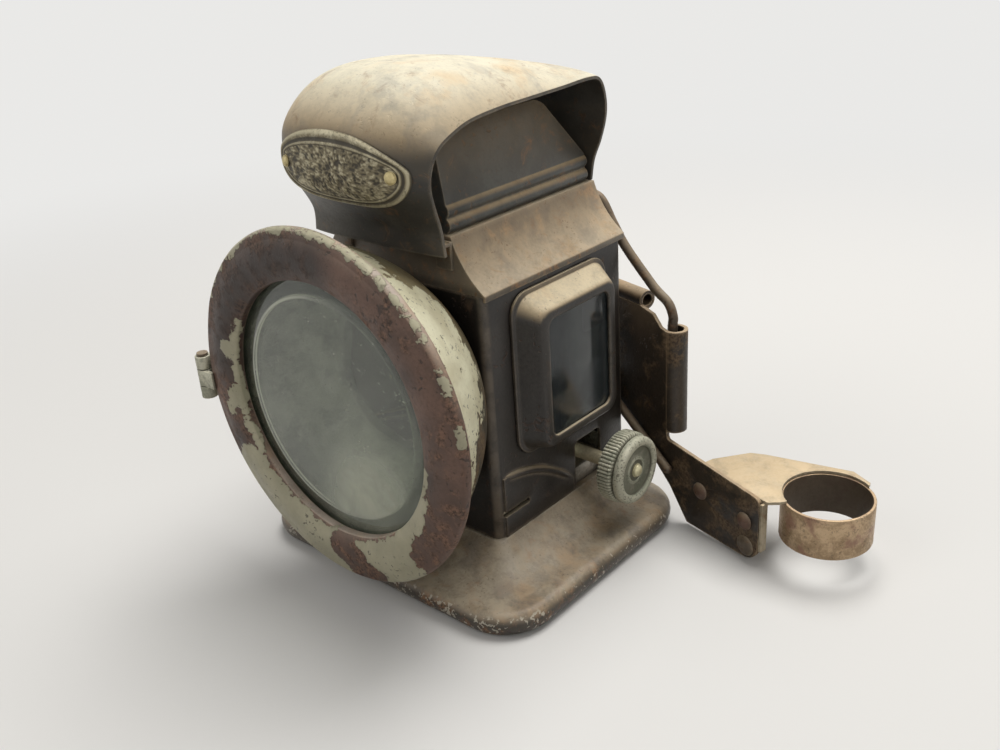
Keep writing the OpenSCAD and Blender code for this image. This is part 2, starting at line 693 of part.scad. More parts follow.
// The bell's flare: a bowed sheet from the throat to the mouth
module bell_flare() {
    intersection() {
        translate([0, half_d]) difference() {
            translate(bell_mid) circle(bell_R, $fn = 180);
            translate(bell_mid) circle(bell_R - sheet, $fn = 180);
        }
        translate([max(1, bell_mid.x), half_d]) square([mouth_r + 4, bell_depth]);
    }
}

module bell() {
    color("#b3a688") turned() {
        bell_flare();
        translate([mouth_r + 0.2, mouth_s + 0.1]) circle(lip_r, $fn = small_n);
        translate([bore_r - fixed_gap - sheet, half_d - 1.6]) square([sheet, 1.6 + 0.6]);
        translate([bore_r - fixed_gap - sheet, half_d])
            square([throat_r - bore_r + fixed_gap + sheet, 0.6]);
    }
}

// Dished reflector on the inside of the back wall
dish_r = 21;
dish_ball = 36;
dish_y = half_d - sheet - 1.2;
module reflector() {
    color("#b8b6a8") translate([0, dish_y, lens_z - 2]) rotate([90, 0, 0]) rotate_extrude($fn = round_n)
        intersection() {
        difference() {
            translate([0, dish_ball]) circle(dish_ball, $fn = 180);
            translate([0, dish_ball]) circle(dish_ball - sheet, $fn = 180);
        }
        translate([1.4, 0]) square([dish_r - 1.4, dish_ball / 2]);
    }
}

module reflector_stud() {
    color("#9a9078") translate([0, half_d - sheet - fixed_gap, lens_z - 2]) rotate([90, 0, 0])
        rotate_extrude($fn = small_n)
        polygon([[0, 0], [3, 0], [3, 1.1], [1.3, 1.1], [1.3, 2.2], [2.2, 2.3], [2.2, 2.9], [0, 3.3]]);
}

bezel_bead_r = 1.7;
bead_c = [bezel_r - bezel_bead_r, mouth_s + 2.9];
face_s = mouth_s + 5.4;
face_mid = (opening_r + bead_c.x) / 2;
cup_r = mouth_r - sheet - 0.6;
cup_s0 = mouth_s;
glass_r = cup_r - sheet - 0.3;
glass_s1 = face_s - glass_sink;
face_edge = face_s - face_crown + sqrt(pow(face_crown, 2) - pow(face_mid - opening_r, 2));
glass_s0 = glass_s1 - glass_t;
wire_ring_r = 0.8;

module bezel_outline() {
    intersection() {
        difference() {
            translate([face_mid, face_s - face_crown]) circle(face_crown, $fn = 180);
            translate([face_mid, face_s - face_crown]) circle(face_crown - 0.9, $fn = 180);
        }
        translate([opening_r, face_s - 4]) square([bead_c.x - opening_r, 6]);
    }
    translate(bead_c) circle(bezel_bead_r, $fn = small_n);
    translate([opening_r, glass_s1 - 0.4]) square([0.9, face_edge - 0.1 - glass_s1 + 0.4]);
    translate([cup_r - sheet, cup_s0]) square([sheet, face_s - 0.9 - cup_s0]);
}

module bezel() { color("#5e463a") turned() bezel_outline(); }

module front_glass() {
    bevel_s = glass_s1 - 1.3;
    bevel_r = opening_r + 1.1;
    color("#9aa79c", 0.6) turned() polygon([[0, glass_s0], [glass_r, glass_s0], [glass_r, bevel_s],
        [bevel_r, bevel_s], [bevel_r - bevel_w, glass_s1], [0, glass_s1]]);
}

module glass_ring() {
    color("#7b7464") turned() translate([glass_r - wire_ring_r, glass_s0 - wire_ring_r - 0.1])
        circle(wire_ring_r, $fn = small_n);
}

hinge_at = [-bezel_r - hinge_out, -mouth_s - 3.5];
hinge_z0 = lens_z - hinge_drop - hinge_len / 2;
knuckle_gap = 0.3;
mid_len = hinge_len * 0.38;
mid_z0 = hinge_z0 + (hinge_len - mid_len) / 2;

// A cylinder on the hinge's axis
module on_hinge(z0, h, r) { translate([hinge_at.x, hinge_at.y, z0]) cylinder(h = h, r = r, $fn = small_n); }
module hinge_bore() { on_hinge(hinge_z0 - 1, hinge_len + 2, hinge_pin_r + run); }

// Fixed leaf: a strap from the bell's side to the two outer knuckles
module hinge_leaf() {
    strap_t = 1;
    end_len = (hinge_len - mid_len) / 2 - knuckle_gap;
    foot = [-mouth_r + 4, -mouth_s + 3.4];
    tip = hinge_at + [0.6, 1.5];
    color("#6f7460") difference() {
        union() {
            translate([0, 0, hinge_z0]) linear_extrude(hinge_len)
                polygon([foot, foot + [0, strap_t], tip + [-1.2, strap_t * 0.4], tip + [-1.4, -0.6],
                    tip + [0.6, -0.6]]);
            on_hinge(hinge_z0, end_len, knuckle_r);
            on_hinge(hinge_z0 + hinge_len - end_len, end_len, knuckle_r);
        }
        hinge_bore();
        on_hinge(mid_z0 - knuckle_gap, mid_len + 2 * knuckle_gap, knuckle_r + slip);
        turned() translate([0, half_d]) bell_space();
    }
}

// Room taken by the bell and its lip, with the fixed gap round them
module bell_space() {
    intersection() {
        translate(bell_mid) circle(bell_R + fixed_gap, $fn = 180);
        square([mouth_r + 4, bell_depth]);
    }
    translate([mouth_r + 0.2, bell_depth + 0.1]) circle(lip_r + fixed_gap, $fn = small_n);
}

module hinge_pin() {
    color("#7d7f68") {
        on_hinge(hinge_z0 - 0.5, hinge_len + 1, hinge_pin_r);
        on_hinge(hinge_z0 + hinge_len + fixed_gap, 0.8, hinge_pin_r + 0.6);
    }
}

// Middle knuckle with its tab on the bezel's edge
module bezel_knuckle() {
    color("#7a7d66") difference() {
        union() {
            on_hinge(mid_z0, mid_len, knuckle_r);
            translate([hinge_at.x, hinge_at.y - knuckle_r + 0.4, mid_z0])
                cube([hinge_out + 1.2, 1.2, mid_len]);
        }
        hinge_bore();
        turned() translate(bead_c) circle(bezel_bead_r + fixed_gap, $fn = small_n);
    }
}

/* Side windows */

// Ring of a window's pressed frame at distance x from the case's centre
function frame_ring(x, gy, z0, z1, r) = [for (p = window(gy, z0, z1, r)) [half_w + x, p.x, p.y]];

module window_frame() {
    f = frame_w;
    g = frame_flat;
    color("#3a332c") loft([
        frame_ring(fixed_gap, f, frame_z0, frame_z1, 6),
        frame_ring(sheet, f, frame_z0, frame_z1, 6),
        frame_ring(sheet + 0.3, f - 1.1, frame_z0 + 1.1, frame_z1 - 1.1, 5.5),
        frame_ring(frame_out - 1.2, g + 1.1, win_z0 - g - 0.6, win_z1 + g + 0.8, 4.2),
        frame_ring(frame_out - 0.35, g + 0.5, win_z0 - g - 0.1, win_z1 + g + 0.2, 3.8),
        frame_ring(frame_out, g - 0.3, win_z0 - g + 0.5, win_z1 + g - 0.5, 3.4),
        frame_ring(frame_out, 0.3, win_z0 - 0.3, win_z1 + 0.3, 2.6),
        frame_ring(frame_out - 0.2, 0, win_z0, win_z1, 2.4),
        frame_ring(frame_out - sheet, 0, win_z0, win_z1, 2.4),
        frame_ring(frame_out - sheet, g, win_z0 - g, win_z1 + g, 3),
        frame_ring(frame_out - 1.2 - sheet, g + 0.3, win_z0 - g, win_z1 + g, 3.2),
        frame_ring(sheet, f - 2, frame_z0 + 2, frame_z1 - 2, 5),
        frame_ring(fixed_gap, f - 2, frame_z0 + 2, frame_z1 - 2, 5)], closed = true);
}

module side_glass() {
    x1 = half_w + frame_out - sheet - fixed_gap;
    color("#3d4742", 0.7) across(x1 - side_glass_t, x1)
        polygon(window(frame_flat - 0.5, win_z0 - frame_flat + 0.5, win_z1 + frame_flat - 0.5, 2));
}

module window_frame_right() { window_frame(); }
module window_frame_left() { mirror([1, 0, 0]) window_frame(); }
module side_glass_right() { side_glass(); }
module side_glass_left() { mirror([1, 0, 0]) side_glass(); }

// Thin tabs that hold each side glass at its upper rear corner
module glass_tabs() {
    x1 = half_w + frame_out - sheet - side_glass_t - 2 * fixed_gap;
    tab_w = 11;
    tab_h = 10;
    color("#6b6a5c") for (side = [0, 1]) mirror([side, 0, 0]) across(x1 - 0.5, x1)
        polygon(plan(win_half + 1.2 - tab_w, win_half + 1.2, win_z1 + 1 - tab_h, win_z1 + 1, 1.2, 3));
}

/* Bail and bracket at the back */

sleeve_z = shoulder_z + 9;
sleeve_half = 12;
sleeve_out = wire_r + run + sheet;
sleeve_y = half_d + sleeve_out;
curl_c = [0.7, 0.25];
curl_r = wire_r + curl_room;
curl_out = curl_r + plate_t;
plate_y = curl_c.y - curl_out;
rod_y = plate_y - wire_r - fixed_gap;
corner_out = (half_w - case_r) * sin(bracket_yaw) + (half_d - case_r) * cos(bracket_yaw) + case_r;
pivot_x = half_w + pivot_out;
// The pivot stands far enough back for the bracket's rod to clear the case's corner
rod_back = (corner_out + slip + wire_r - rod_y - pivot_x * sin(bracket_yaw)) / cos(bracket_yaw);
pivot = [pivot_x, max(half_d + pivot_back, rod_back)];
wire_sides = 12;

module bail_sleeve() {
    color("#4a3f34") difference() {
        union() {
            translate([-sleeve_half, sleeve_y, sleeve_z]) rotate([0, 90, 0])
                cylinder(h = 2 * sleeve_half, r = sleeve_out, $fn = small_n);
            along(half_d + fixed_gap, half_d + sheet + fixed_gap)
                polygon(plan(-sleeve_half, sleeve_half, sleeve_z - 7, sleeve_z, 1.5));
        }
        translate([0, sleeve_y, sleeve_z]) rotate([0, 90, 0])
            cylinder(h = 3 * sleeve_half, r = wire_r + run, center = true, $fn = small_n);
        along(half_d - 3, half_d + fixed_gap) square([4 * sleeve_half, 4 * sleeve_z], center = true);
    }
}

module sleeve_rivets() {
    color("#5c5145") for (x = [-0.7, 0.7])
        translate([x * sleeve_half, half_d + sheet + 2 * fixed_gap, sleeve_z - 5])
        rotate([-90, 0, 0]) rivet_head(1.2, 0.7);
}

// The bail's sloping leg, from the sleeve's end to the top of the pivot
leg_rows = [
    [sleeve_half + 1.5, sleeve_y, sleeve_z],
    [half_w - 8.5, sleeve_y, sleeve_z - 1.4],
    [half_w - 4.5, sleeve_y, sleeve_z - 7.5],
    [half_w - 0.5, sleeve_y, sleeve_z - 13.6],
    [pivot.x - 6.5, pivot.y + 0.2, sleeve_z - 23.2],
    [pivot.x - 1.6, pivot.y, sleeve_z - 27],
    [pivot.x, pivot.y, sleeve_z - 30.4],
    [pivot.x, pivot.y, sleeve_z - 32.6]];
leg_steps = 3;

// Ring of the wire at place t in rows, square to its run
function leg_ring(t) =
    let (e = 0.02, p = spline(leg_rows, t), a = spline(leg_rows, max(t - e, 0)),
        b = spline(leg_rows, min(t + e, len(leg_rows) - 1)),
         d = (b - a) / norm(b - a), u = [0, 1, 0] - d.y * d, un = u / norm(u), w = cross(d, un))
    [for (i = [0:wire_sides - 1]) let (q = 360 * i / wire_sides) p + wire_r * (cos(q) * un + sin(q) * w)];

module bail_wire() {
    spans = (len(leg_rows) - 1) * leg_steps;
    pin_z1 = sleeve_z - 31.6;
    pin_z0 = curl_z0 + 1.5;
    color("#6a5d4c") {
        translate([-sleeve_half - 1.5, sleeve_y, sleeve_z]) rotate([0, 90, 0])
            cylinder(h = 2 * sleeve_half + 3.2, r = wire_r, $fn = small_n);
        translate([-sleeve_half - 2.2, sleeve_y, sleeve_z]) rotate([0, 90, 0])
            cylinder(h = 1.2, r = wire_r + 0.6, $fn = small_n);
        loft([for (i = [0:spans]) leg_ring(i / leg_steps)]);
        translate([pivot.x, pivot.y, pin_z0])
            cylinder(h = pin_z1 - pin_z0, r = wire_r + 0.02, $fn = small_n);
    }
}

// The bracket's own frame: x along the plate towards the clip, y to the back, pivot at the origin
module at_bracket() { translate([pivot.x, pivot.y, 0]) rotate([0, 0, -bracket_yaw]) children(); }

barrel_r = 2.65;
barrel_x1 = -9.6;
arm_z1 = flange_z + 0.4;
arm_top_left = arm_z1 + 3;
arm_r = 5;
rivet_places = [[14.7, 13.2], [arm_len - 5, 11.7]];
screw_place = [arm_len - 4.4, arm_z0 + 3.6];

function plate_outline() = concat(
    [[-plate_len, curl_z0 + 4], [-plate_len + 4, curl_z0], [-12, curl_z0 - 2]],
    [[-6, 17], [2.6, 9.5], [9.5, arm_z0]],
    arc([arm_len - arm_r, arm_z0 + arm_r], arm_r, -90, 0, 6),
    arc([arm_len - 2.2, arm_z1 - 2.2], 2.2, 0, 90, 4),
    [[4.4, arm_top_left]], arc([2.4, curl_z0 - 1.2], 1.2, -80, -180, 4), [[1.2, curl_z0 + 1]],
    [[curl_c.x, curl_z0 + 1], [curl_c.x, curl_z1], [-1.5, curl_z1 + 0.5], [-4.5, plate_z1 - 0.5]],
    [[barrel_x1, plate_z1 + 0.6], [-plate_len, plate_z1 + 0.6]]);

module bracket_plate() {
    color("#33291f") at_bracket() difference() {
        union() {
            along(plate_y, plate_y + plate_t) polygon(plate_outline());
            translate([0, 0, curl_z0]) linear_extrude(curl_z1 - curl_z0) translate(curl_c) difference() {
                circle(curl_out, $fn = round_n);
                circle(curl_r, $fn = round_n);
                polygon([[0, 0], [-0.01, -2 * curl_out], [-2 * curl_out, -2 * curl_out],
                    [-2 * curl_out, 0.6]]);
            }
            translate([-plate_len, plate_y + barrel_r, plate_z1 + 1.5]) rotate([0, 90, 0])
                cylinder(h = plate_len + barrel_x1, r = barrel_r, $fn = small_n);
        }
        translate([-plate_len - 1, plate_y + barrel_r, plate_z1 + 1.5]) rotate([0, 90, 0])
            cylinder(h = plate_len + 4, r = barrel_r - plate_t, $fn = small_n);
        for (p = rivet_places) along(-9, 9) translate(p) circle(1.3, $fn = small_n);
        along(-9, 9) translate(screw_place) circle(1.5, $fn = small_n);
    }
}

// Lower rod of the bracket, lying on the front of the plate
rod_from = [-27, 34];
rod_to = [3, 15.4];
module stay_rod() {
    v = rod_to - rod_from;
    color("#4e453a") at_bracket() translate([rod_from.x, rod_y, rod_from.y])
        rotate([0, atan2(v.x, v.y), 0]) {
        cylinder(h = norm(v), r = wire_r, $fn = small_n);
        translate([0, 0, norm(v)]) rivet_head(wire_r, wire_r * 0.9);
    }
}

// Saddle that holds the rod to the plate
module stay_clip() {
    v = rod_to - rod_from;
    saddle = 5;
    color("#3b3129") at_bracket() translate([rod_from.x, rod_y, rod_from.y])
        rotate([0, atan2(v.x, v.y), 0]) translate([0, 0, 2]) difference() {
        union() {
            cylinder(h = saddle, r = wire_r + sheet, $fn = small_n);
            translate([-wire_r - 3.4, wire_r - sheet, 0]) cube([2 * wire_r + 6.8, sheet, saddle]);
        }
        translate([0, 0, -1]) cylinder(h = saddle + 2, r = wire_r + fixed_gap, $fn = small_n);
        translate([-9, wire_r, -1]) cube([18, 9, saddle + 2]);
    }
}

/* Clip */

ring_c = [44.4, 12.9];
web_y0 = plate_y + plate_t + fixed_gap;
flange_from = 12.6;

// The clip's angle: a web behind the arm and a flange above that reaches round the ring
module clip_angle() {
    z0 = flange_z - clip_t;
    color("#a9744a") at_bracket() {
        along(web_y0, web_y0 + clip_t) difference() {
            polygon(concat([[flange_from, z0], [flange_from, 6], [flange_from + 3, 3]],
                arc([arm_len - arm_r + 1, arm_z0 + 1.4 + arm_r], arm_r, -90, 0, 5), [[arm_len + 1, z0]]));
            for (p = rivet_places) translate(p) circle(1.3, $fn = small_n);
            translate(screw_place) circle(1.5, $fn = small_n);
        }
        translate([0, 0, z0]) linear_extrude(clip_t) difference() {
            polygon([[flange_from, web_y0], [flange_from, web_y0 + 5.4],
                [16.9, ring_c.y + 0.6], [20.3, ring_c.y + 3],
                ring_c + [-3, ring_r + 2.4], ring_c + [3.5, ring_r + 1], ring_c + [5, ring_r - 2],
                ring_c, [39.6, 0.6], [arm_len + 1.6, web_y0]]);
            translate(ring_c) circle(ring_r + clip_t / 2, $fn = round_n);
        }
        // The outer end of the web turns forward round the end of the arm
        translate([arm_len + 0.3, plate_y - 0.2, 5])
            cube([clip_t, web_y0 + clip_t - plate_y + 0.2, z0 - 5]);
    }
}

module clip_ring() {
    color("#b5824f") at_bracket() translate([ring_c.x, ring_c.y, flange_z - clip_t - fixed_gap - ring_h])
        difference() {
        cylinder(h = ring_h, r = ring_r + clip_t, $fn = round_n);
        translate([0, 0, -1]) cylinder(h = ring_h + 2, r = ring_r, $fn = round_n);
    }
}

// A fastener through the arm and the web, lying along the bracket's y
module through(p, shank_r, head_r, head_h) {
    grip = web_y0 + clip_t - plate_y + 2 * fixed_gap;
    translate([p.x, plate_y - fixed_gap, p.y]) rotate([-90, 0, 0]) {
        cylinder(h = grip, r = shank_r, $fn = small_n);
        rotate([180, 0, 0]) rivet_head(head_r, head_h);
        translate([0, 0, grip]) rivet_head(head_r, head_h);
    }
}

module clip_rivets() {
    color("#6b4c38") at_bracket() for (p = rivet_places) through(p, 1.3 - fixed_gap, 2.6, 1.3);
}

module clip_screw() { color("#54443a") at_bracket() through(screw_place, 1.5 - fixed_gap, 3, 1.1); }

oil_font();
font_bottom();
font_collar();
catch_spring();
catch_rivets();
burner_collar();
burner_plate();
wick_tube();
winder_bearings();
wick();
winder_spindle();
feed_wheels();
winder_knob();
knob_stud();
case_shell();
roof();
chimney();
hood();
hood_ears();
badge_plate();
badge_rivets();
bell();
reflector();
reflector_stud();
window_frame_right();
window_frame_left();
side_glass_right();
side_glass_left();
glass_tabs();
hinge_leaf();
hinge_pin();
bezel();
bezel_knuckle();
front_glass();
glass_ring();
bail_sleeve();
sleeve_rivets();
bail_wire();
bracket_plate();
stay_rod();
stay_clip();
clip_angle();
clip_ring();
clip_rivets();
clip_screw();
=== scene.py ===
"""Looks of a bicycle oil lamp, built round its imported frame.

Lengths are in millimetres in the lamp's own frame, and meshes are made in metres: +Z is up from
the table, the front glass faces -Y and the winder is at +X. Each sub-assembly is a class that
builds its pieces and dresses them, and each finish is a small frozen class that makes a material.
"""

from __future__ import annotations

import json
import logging
import math
from dataclasses import dataclass, field, replace
from enum import Enum
from typing import Callable, Iterable, Sequence, Union

import bmesh
import bpy
from mathutils import Matrix, Vector, noise

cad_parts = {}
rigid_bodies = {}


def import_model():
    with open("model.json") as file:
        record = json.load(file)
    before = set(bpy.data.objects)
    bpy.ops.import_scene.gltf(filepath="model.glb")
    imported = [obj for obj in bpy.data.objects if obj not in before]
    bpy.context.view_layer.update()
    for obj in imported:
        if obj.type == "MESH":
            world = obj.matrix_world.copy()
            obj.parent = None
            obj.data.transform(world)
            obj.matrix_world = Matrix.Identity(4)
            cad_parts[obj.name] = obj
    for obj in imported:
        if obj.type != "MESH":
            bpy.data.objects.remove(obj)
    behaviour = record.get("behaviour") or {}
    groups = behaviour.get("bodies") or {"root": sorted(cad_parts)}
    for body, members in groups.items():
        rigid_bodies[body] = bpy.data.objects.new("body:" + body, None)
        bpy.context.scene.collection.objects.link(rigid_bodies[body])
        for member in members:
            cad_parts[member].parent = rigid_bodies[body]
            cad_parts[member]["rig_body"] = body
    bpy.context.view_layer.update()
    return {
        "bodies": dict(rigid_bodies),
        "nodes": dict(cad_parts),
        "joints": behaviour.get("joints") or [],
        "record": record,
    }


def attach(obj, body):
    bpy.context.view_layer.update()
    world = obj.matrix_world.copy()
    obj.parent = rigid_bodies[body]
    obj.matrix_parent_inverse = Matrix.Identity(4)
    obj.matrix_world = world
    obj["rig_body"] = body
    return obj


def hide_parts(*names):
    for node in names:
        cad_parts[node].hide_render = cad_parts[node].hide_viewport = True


LOG = logging.getLogger("lamp")
MM = 0.001
# Name under which a mesh keeps how raised each of its points looks; on the clip's ring it holds a painted
# highlight and painted shade
RELIEF = "relief"
# Distances in metres below which two points are one and a face is a sliver
MERGE = 0.002 * MM
SLIVER = 0.001 * MM
# Depth in millimetres that counts as far outside every patch
NOWHERE = -99.0
# Bend in degrees below which two faces count as one flat face
FLAT_BEND = 0.6
# The lens axis's height, then radius and distance forward of the bell's narrow and wide ends
LENS_Z = 55.0
THROAT = (26.0, 28.0)
MOUTH = (42.0, 52.0)
# How far forward the bezel's face stands
BEZEL_FACE = 56.5

Colour = tuple[float, float, float]
Point = tuple[float, float, float]
Flat = tuple[float, float]
Ring = list[Vector]
Face = list[int]
Spot = tuple[float, float, float]
Socket = bpy.types.NodeSocket
Value = Union[float, Colour, Vector, Socket]


class Slot(Enum):
    """Material slots of the lamp's record, one finish for each."""

    JAPAN = "japan"
    HOOD = "hood_paint"
    ROOF = "roof_paint"
    BELL = "bell_paint"
    BEZEL = "bezel_paint"
    FONT = "font_paint"
    BADGE = "badge_metal"
    BRASS = "aged_brass"
    VERDIGRIS = "verdigris"
    COPPER = "copper"
    WIRE = "wire"
    BRACKET = "bracket_paint"
    STEEL = "dull_steel"
    CLEAR_GLASS = "clear_glass"
    TINTED_GLASS = "tinted_glass"
    COTTON = "wick_cotton"
    TIN = "bright_tin"


class Side(Enum):
    """Sides of the lamp, as the sign of X."""

    LEFT = -1
    RIGHT = 1


# Outlines and meshes


def arc(centre: Flat, radius: float, start: float, end: float, steps: int) -> list[Flat]:
    """Points of an arc in a plane.

    Args:
        centre: Centre of the arc.
        radius: Radius of the arc.
        start: First angle in degrees.
        end: Last angle in degrees.
        steps: Number of straight steps.

    Returns:
        The points from start to end, both included.
    """
    angles = [math.radians(start + (end - start) * i / steps) for i in range(steps + 1)]
    return [(centre[0] + radius * math.cos(a), centre[1] + radius * math.sin(a)) for a in angles]


def rounded(low: Flat, high: Flat, radius: float, steps: int) -> list[Flat]:
    """Outline of a rectangle with round corners, anticlockwise.

    Args:
        low: Lowest corner.
        high: Highest corner.
        radius: Corner radius.
        steps: Steps in each corner.

    Returns:
        The outline's points, with the same count for any size.
    """
    x0, y0, x1, y1 = low[0] + radius, low[1] + radius, high[0] - radius, high[1] - radius
    corners = [(x1, y0, -90), (x1, y1, 0), (x0, y1, 90), (x0, y0, 180)]
    return [p for x, y, a in corners for p in arc((x, y), radius, a, a + 90, steps)]


def spline(rows: Sequence[Sequence[float]], place: float) -> list[float]:
    """Smooth value through the rows of a table.

    Args:
        rows: Rows of numbers.
        place: Place in rows, from 0 to the last row.

    Returns:
        One row, interpolated.
    """
    last = len(rows) - 1
    i = min(int(place), last - 1)
    f = place - i
    near = (rows[max(i - 1, 0)], rows[i], rows[i + 1], rows[min(i + 2, last)])
    return [
        b + f / 2 * ((c - a) + f * ((2 * a - 5 * b + 4 * c - d) + f * (3 * (b - c) + d - a)))
        for a, b, c, d in zip(*near)
    ]


def dome(radius: float, base: float, rise: float, steps: int) -> list[Flat]:
    """Outline of a dome, from its edge up to its top.

    Args:
        radius: Radius of the edge.
        base: Height of the edge.
        rise: Height of the top above the edge.
        steps: Number of straight steps.

    Returns:
        Radius and height of each point.
    """
    angles = [math.pi / 2 * i / steps for i in range(steps + 1)]
    return [(radius * math.cos(a), base + rise * math.sin(a)) for a in angles]


def ripple(point: Vector, size: float, depth: float) -> float:
    """Height of a smooth, repeatable dent pattern at a point, for bumps of a size and depth."""
    return depth * noise.noise(point / size)


class Form:
    """Ways of making the lamp's meshes."""

    @staticmethod
    def piece(name: str, points: Iterable[Vector], faces: list[Face],
              sharp: float = 40.0) -> bpy.types.Object:
        """Makes an object from points in millimetres.

        Args:
            name: Name of the piece.
            points: Points in millimetres.
            faces: Point numbers of each face.
            sharp: Angle in degrees above which an edge stays crisp.

        Returns:
            The new object, with merged points and outward faces.
        """
        mesh = bpy.data.meshes.new(name)
        mesh.from_pydata([p * MM for p in points], [], faces)
        work = bmesh.new()
        work.from_mesh(mesh)
        bmesh.ops.remove_doubles(work, verts=work.verts, dist=MERGE)
        bmesh.ops.recalc_face_normals(work, faces=work.faces)
        work.to_mesh(mesh)
        work.free()
        return Form.link(name, mesh, sharp)

    @staticmethod
    def link(name: str, mesh: bpy.types.Mesh, sharp: float) -> bpy.types.Object:
        """Links a mesh into the scene as a smooth-shaded object.

        Args:
            name: Name of the piece.
            mesh: Its mesh, in metres.
            sharp: Angle in degrees above which an edge stays crisp.

        Returns:
            The new object.
        """
        mesh.shade_smooth()
        mesh.set_sharp_from_angle(angle=math.radians(sharp))
        obj = bpy.data.objects.new(name, mesh)
        bpy.context.scene.collection.objects.link(obj)
        return obj

    @staticmethod
    def skin(rings: Sequence[Ring], turn: bool, close: bool,
             caps: bool = False) -> tuple[Ring, list[Face]]:
        """Quads between rings of points.

        Args:
            rings: Rings with the same number of points.
            turn: True if the last ring joins the first.
            close: True if each ring joins its own ends.
            caps: True to fill the first and last ring.

        Returns:
            The points and the faces.
        """
        many, count = len(rings), len(rings[0])
        faces = []
        for i in range(many if turn else many - 1):
            k = (i + 1) % many
            for j in range(count if close else count - 1):
                n = (j + 1) % count
                faces.append([i * count + j, i * count + n, k * count + n, k * count + j])
        if caps:
            faces.append(list(range(count)))
            faces.append([(many - 1) * count + j for j in reversed(range(count))])
        return [p for ring in rings for p in ring], faces

    @staticmethod
    def lathe(name: str, profile: list[Flat], place: Callable[[float, float, float], Vector],
              segments: int = 192, sharp: float = 40.0) -> bpy.types.Object:
        """Turns a closed profile about an axis.

        Args:
            name: Name of the piece.
            profile: Closed outline of radius and distance along the axis.
            place: Gives the point for a radius, a distance and an angle in radians.
            segments: Steps round the axis.
            sharp: Angle in degrees above which an edge stays crisp.

        Returns:
            The turned object.
        """
        angles = [2 * math.pi * i / segments for i in range(segments)]
        rings = [[place(r, s, a) for r, s in profile] for a in angles]
        points, faces = Form.skin(rings, turn=True, close=True)
        return Form.piece(name, points, faces, sharp)

    @staticmethod
    def sweep(name: str, path: Ring, radius: float, sides: int = 28,
              end_share: float = 0.82) -> bpy.types.Object:
        """Runs a round wire along a path.

        Args:
            name: Name of the piece.
            path: Points along the wire's middle.
            radius: Radius of the wire.
            sides: Points round the wire.
            end_share: Share of the radius that is left at the wire's two ends.

        Returns:
            The wire, with rounded ends.
        """
        rings = []
        across = Vector((0, 1, 0))
        last = len(path) - 1
        for i, point in enumerate(path):
            along = (path[min(i + 1, last)] - path[max(i - 1, 0)]).normalized()
            across = (across - along * across.dot(along)).normalized()
            other = along.cross(across)
            size = radius * (end_share if i in (0, last) else 1.0)
            turns = [2 * math.pi * j / sides for j in range(sides)]
            rings.append([point + (across * math.cos(a) + other * math.sin(a)) * size for a in turns])
        points, faces = Form.skin(rings, turn=False, close=True, caps=True)
        return Form.piece(name, points, faces, sharp=50)

    @staticmethod
    def refined(name: str, source: bpy.types.Object, round_off: float) -> bpy.types.Object:
        """Copies a frame node's mesh with its crisp edges rounded off.

        Args:
            name: Name of the piece.
            source: The frame's node, which stays as it is.
            round_off: Width of the rounding in millimetres.

        Returns:
            The copy.
        """
        mesh = bpy.data.meshes.new(name)
        work = bmesh.new()
        work.from_mesh(source.data)
        bmesh.ops.remove_doubles(work, verts=work.verts, dist=MERGE)
        flat = math.radians(FLAT_BEND)
        bmesh.ops.dissolve_limit(work, angle_limit=flat, verts=work.verts, edges=work.edges)
        bmesh.ops.recalc_face_normals(work, faces=work.faces)
        Form.ease(work, round_off, least=35, segments=2)
        work.to_mesh(mesh)
        work.free()
        return Form.link(name, mesh, sharp=32)

    @staticmethod
    def ease(work: bmesh.types.BMesh, round_off: float, least: float, segments: int) -> None:
        """Rounds a mesh's crisp edges off, and clears the slivers that this leaves.

        Args:
            work: The mesh, in metres.
            round_off: Width of the rounding in millimetres.
            least: Angle in degrees above which an edge is crisp.
            segments: Steps in each rounding.
        """
        limit = math.radians(least)
        crisp = [e for e in work.edges if len(e.link_faces) == 2 and e.calc_face_angle(0) > limit]
        if crisp:
            bmesh.ops.bevel(work, geom=crisp, offset=round_off * MM, offset_type="OFFSET", segments=segments,
                            profile=0.5, affect="EDGES", clamp_overlap=True)
        bmesh.ops.triangulate(work, faces=[f for f in work.faces if len(f.verts) > 4])
        bmesh.ops.remove_doubles(work, verts=work.verts, dist=MERGE)
        bmesh.ops.dissolve_degenerate(work, edges=work.edges, dist=SLIVER)

    @staticmethod
    def soften(obj: bpy.types.Object, round_off: float, sharp: float) -> bpy.types.Object:
        """Rounds an object's crisp edges off.

        Args:
            obj: The piece.
            round_off: Width of the rounding in millimetres.
            sharp: Angle in degrees above which an edge stays crisp afterwards.

        Returns:
            The same piece.
        """
        work = bmesh.new()
        work.from_mesh(obj.data)
        Form.ease(work, round_off, least=30, segments=3)
        work.to_mesh(obj.data)
        work.free()
        obj.data.shade_smooth()
        obj.data.set_sharp_from_angle(angle=math.radians(sharp))
        return obj

    @staticmethod
    def batter(obj: bpy.types.Object, size: float, depth: float) -> bpy.types.Object:
        """Dents an object softly along its normals.

        Args:
            obj: The piece.
            size: Size of the dents in millimetres.
            depth: Depth of the dents in millimetres.

        Returns:
            The same piece.
        """
        normals = [v.normal.copy() for v in obj.data.vertices]
        for vertex, normal in zip(obj.data.vertices, normals):
            vertex.co += normal * ripple(vertex.co / MM, size, depth) * MM
        return obj

    @staticmethod
    def mark(obj: bpy.types.Object, name: str, shares: Sequence[float]) -> bpy.types.Object:
        """Keeps a number for each of an object's points under a name, for its finish to read."""
        obj.data.attributes.new(name, "FLOAT", "POINT").data.foreach_set("value", shares)
        return obj

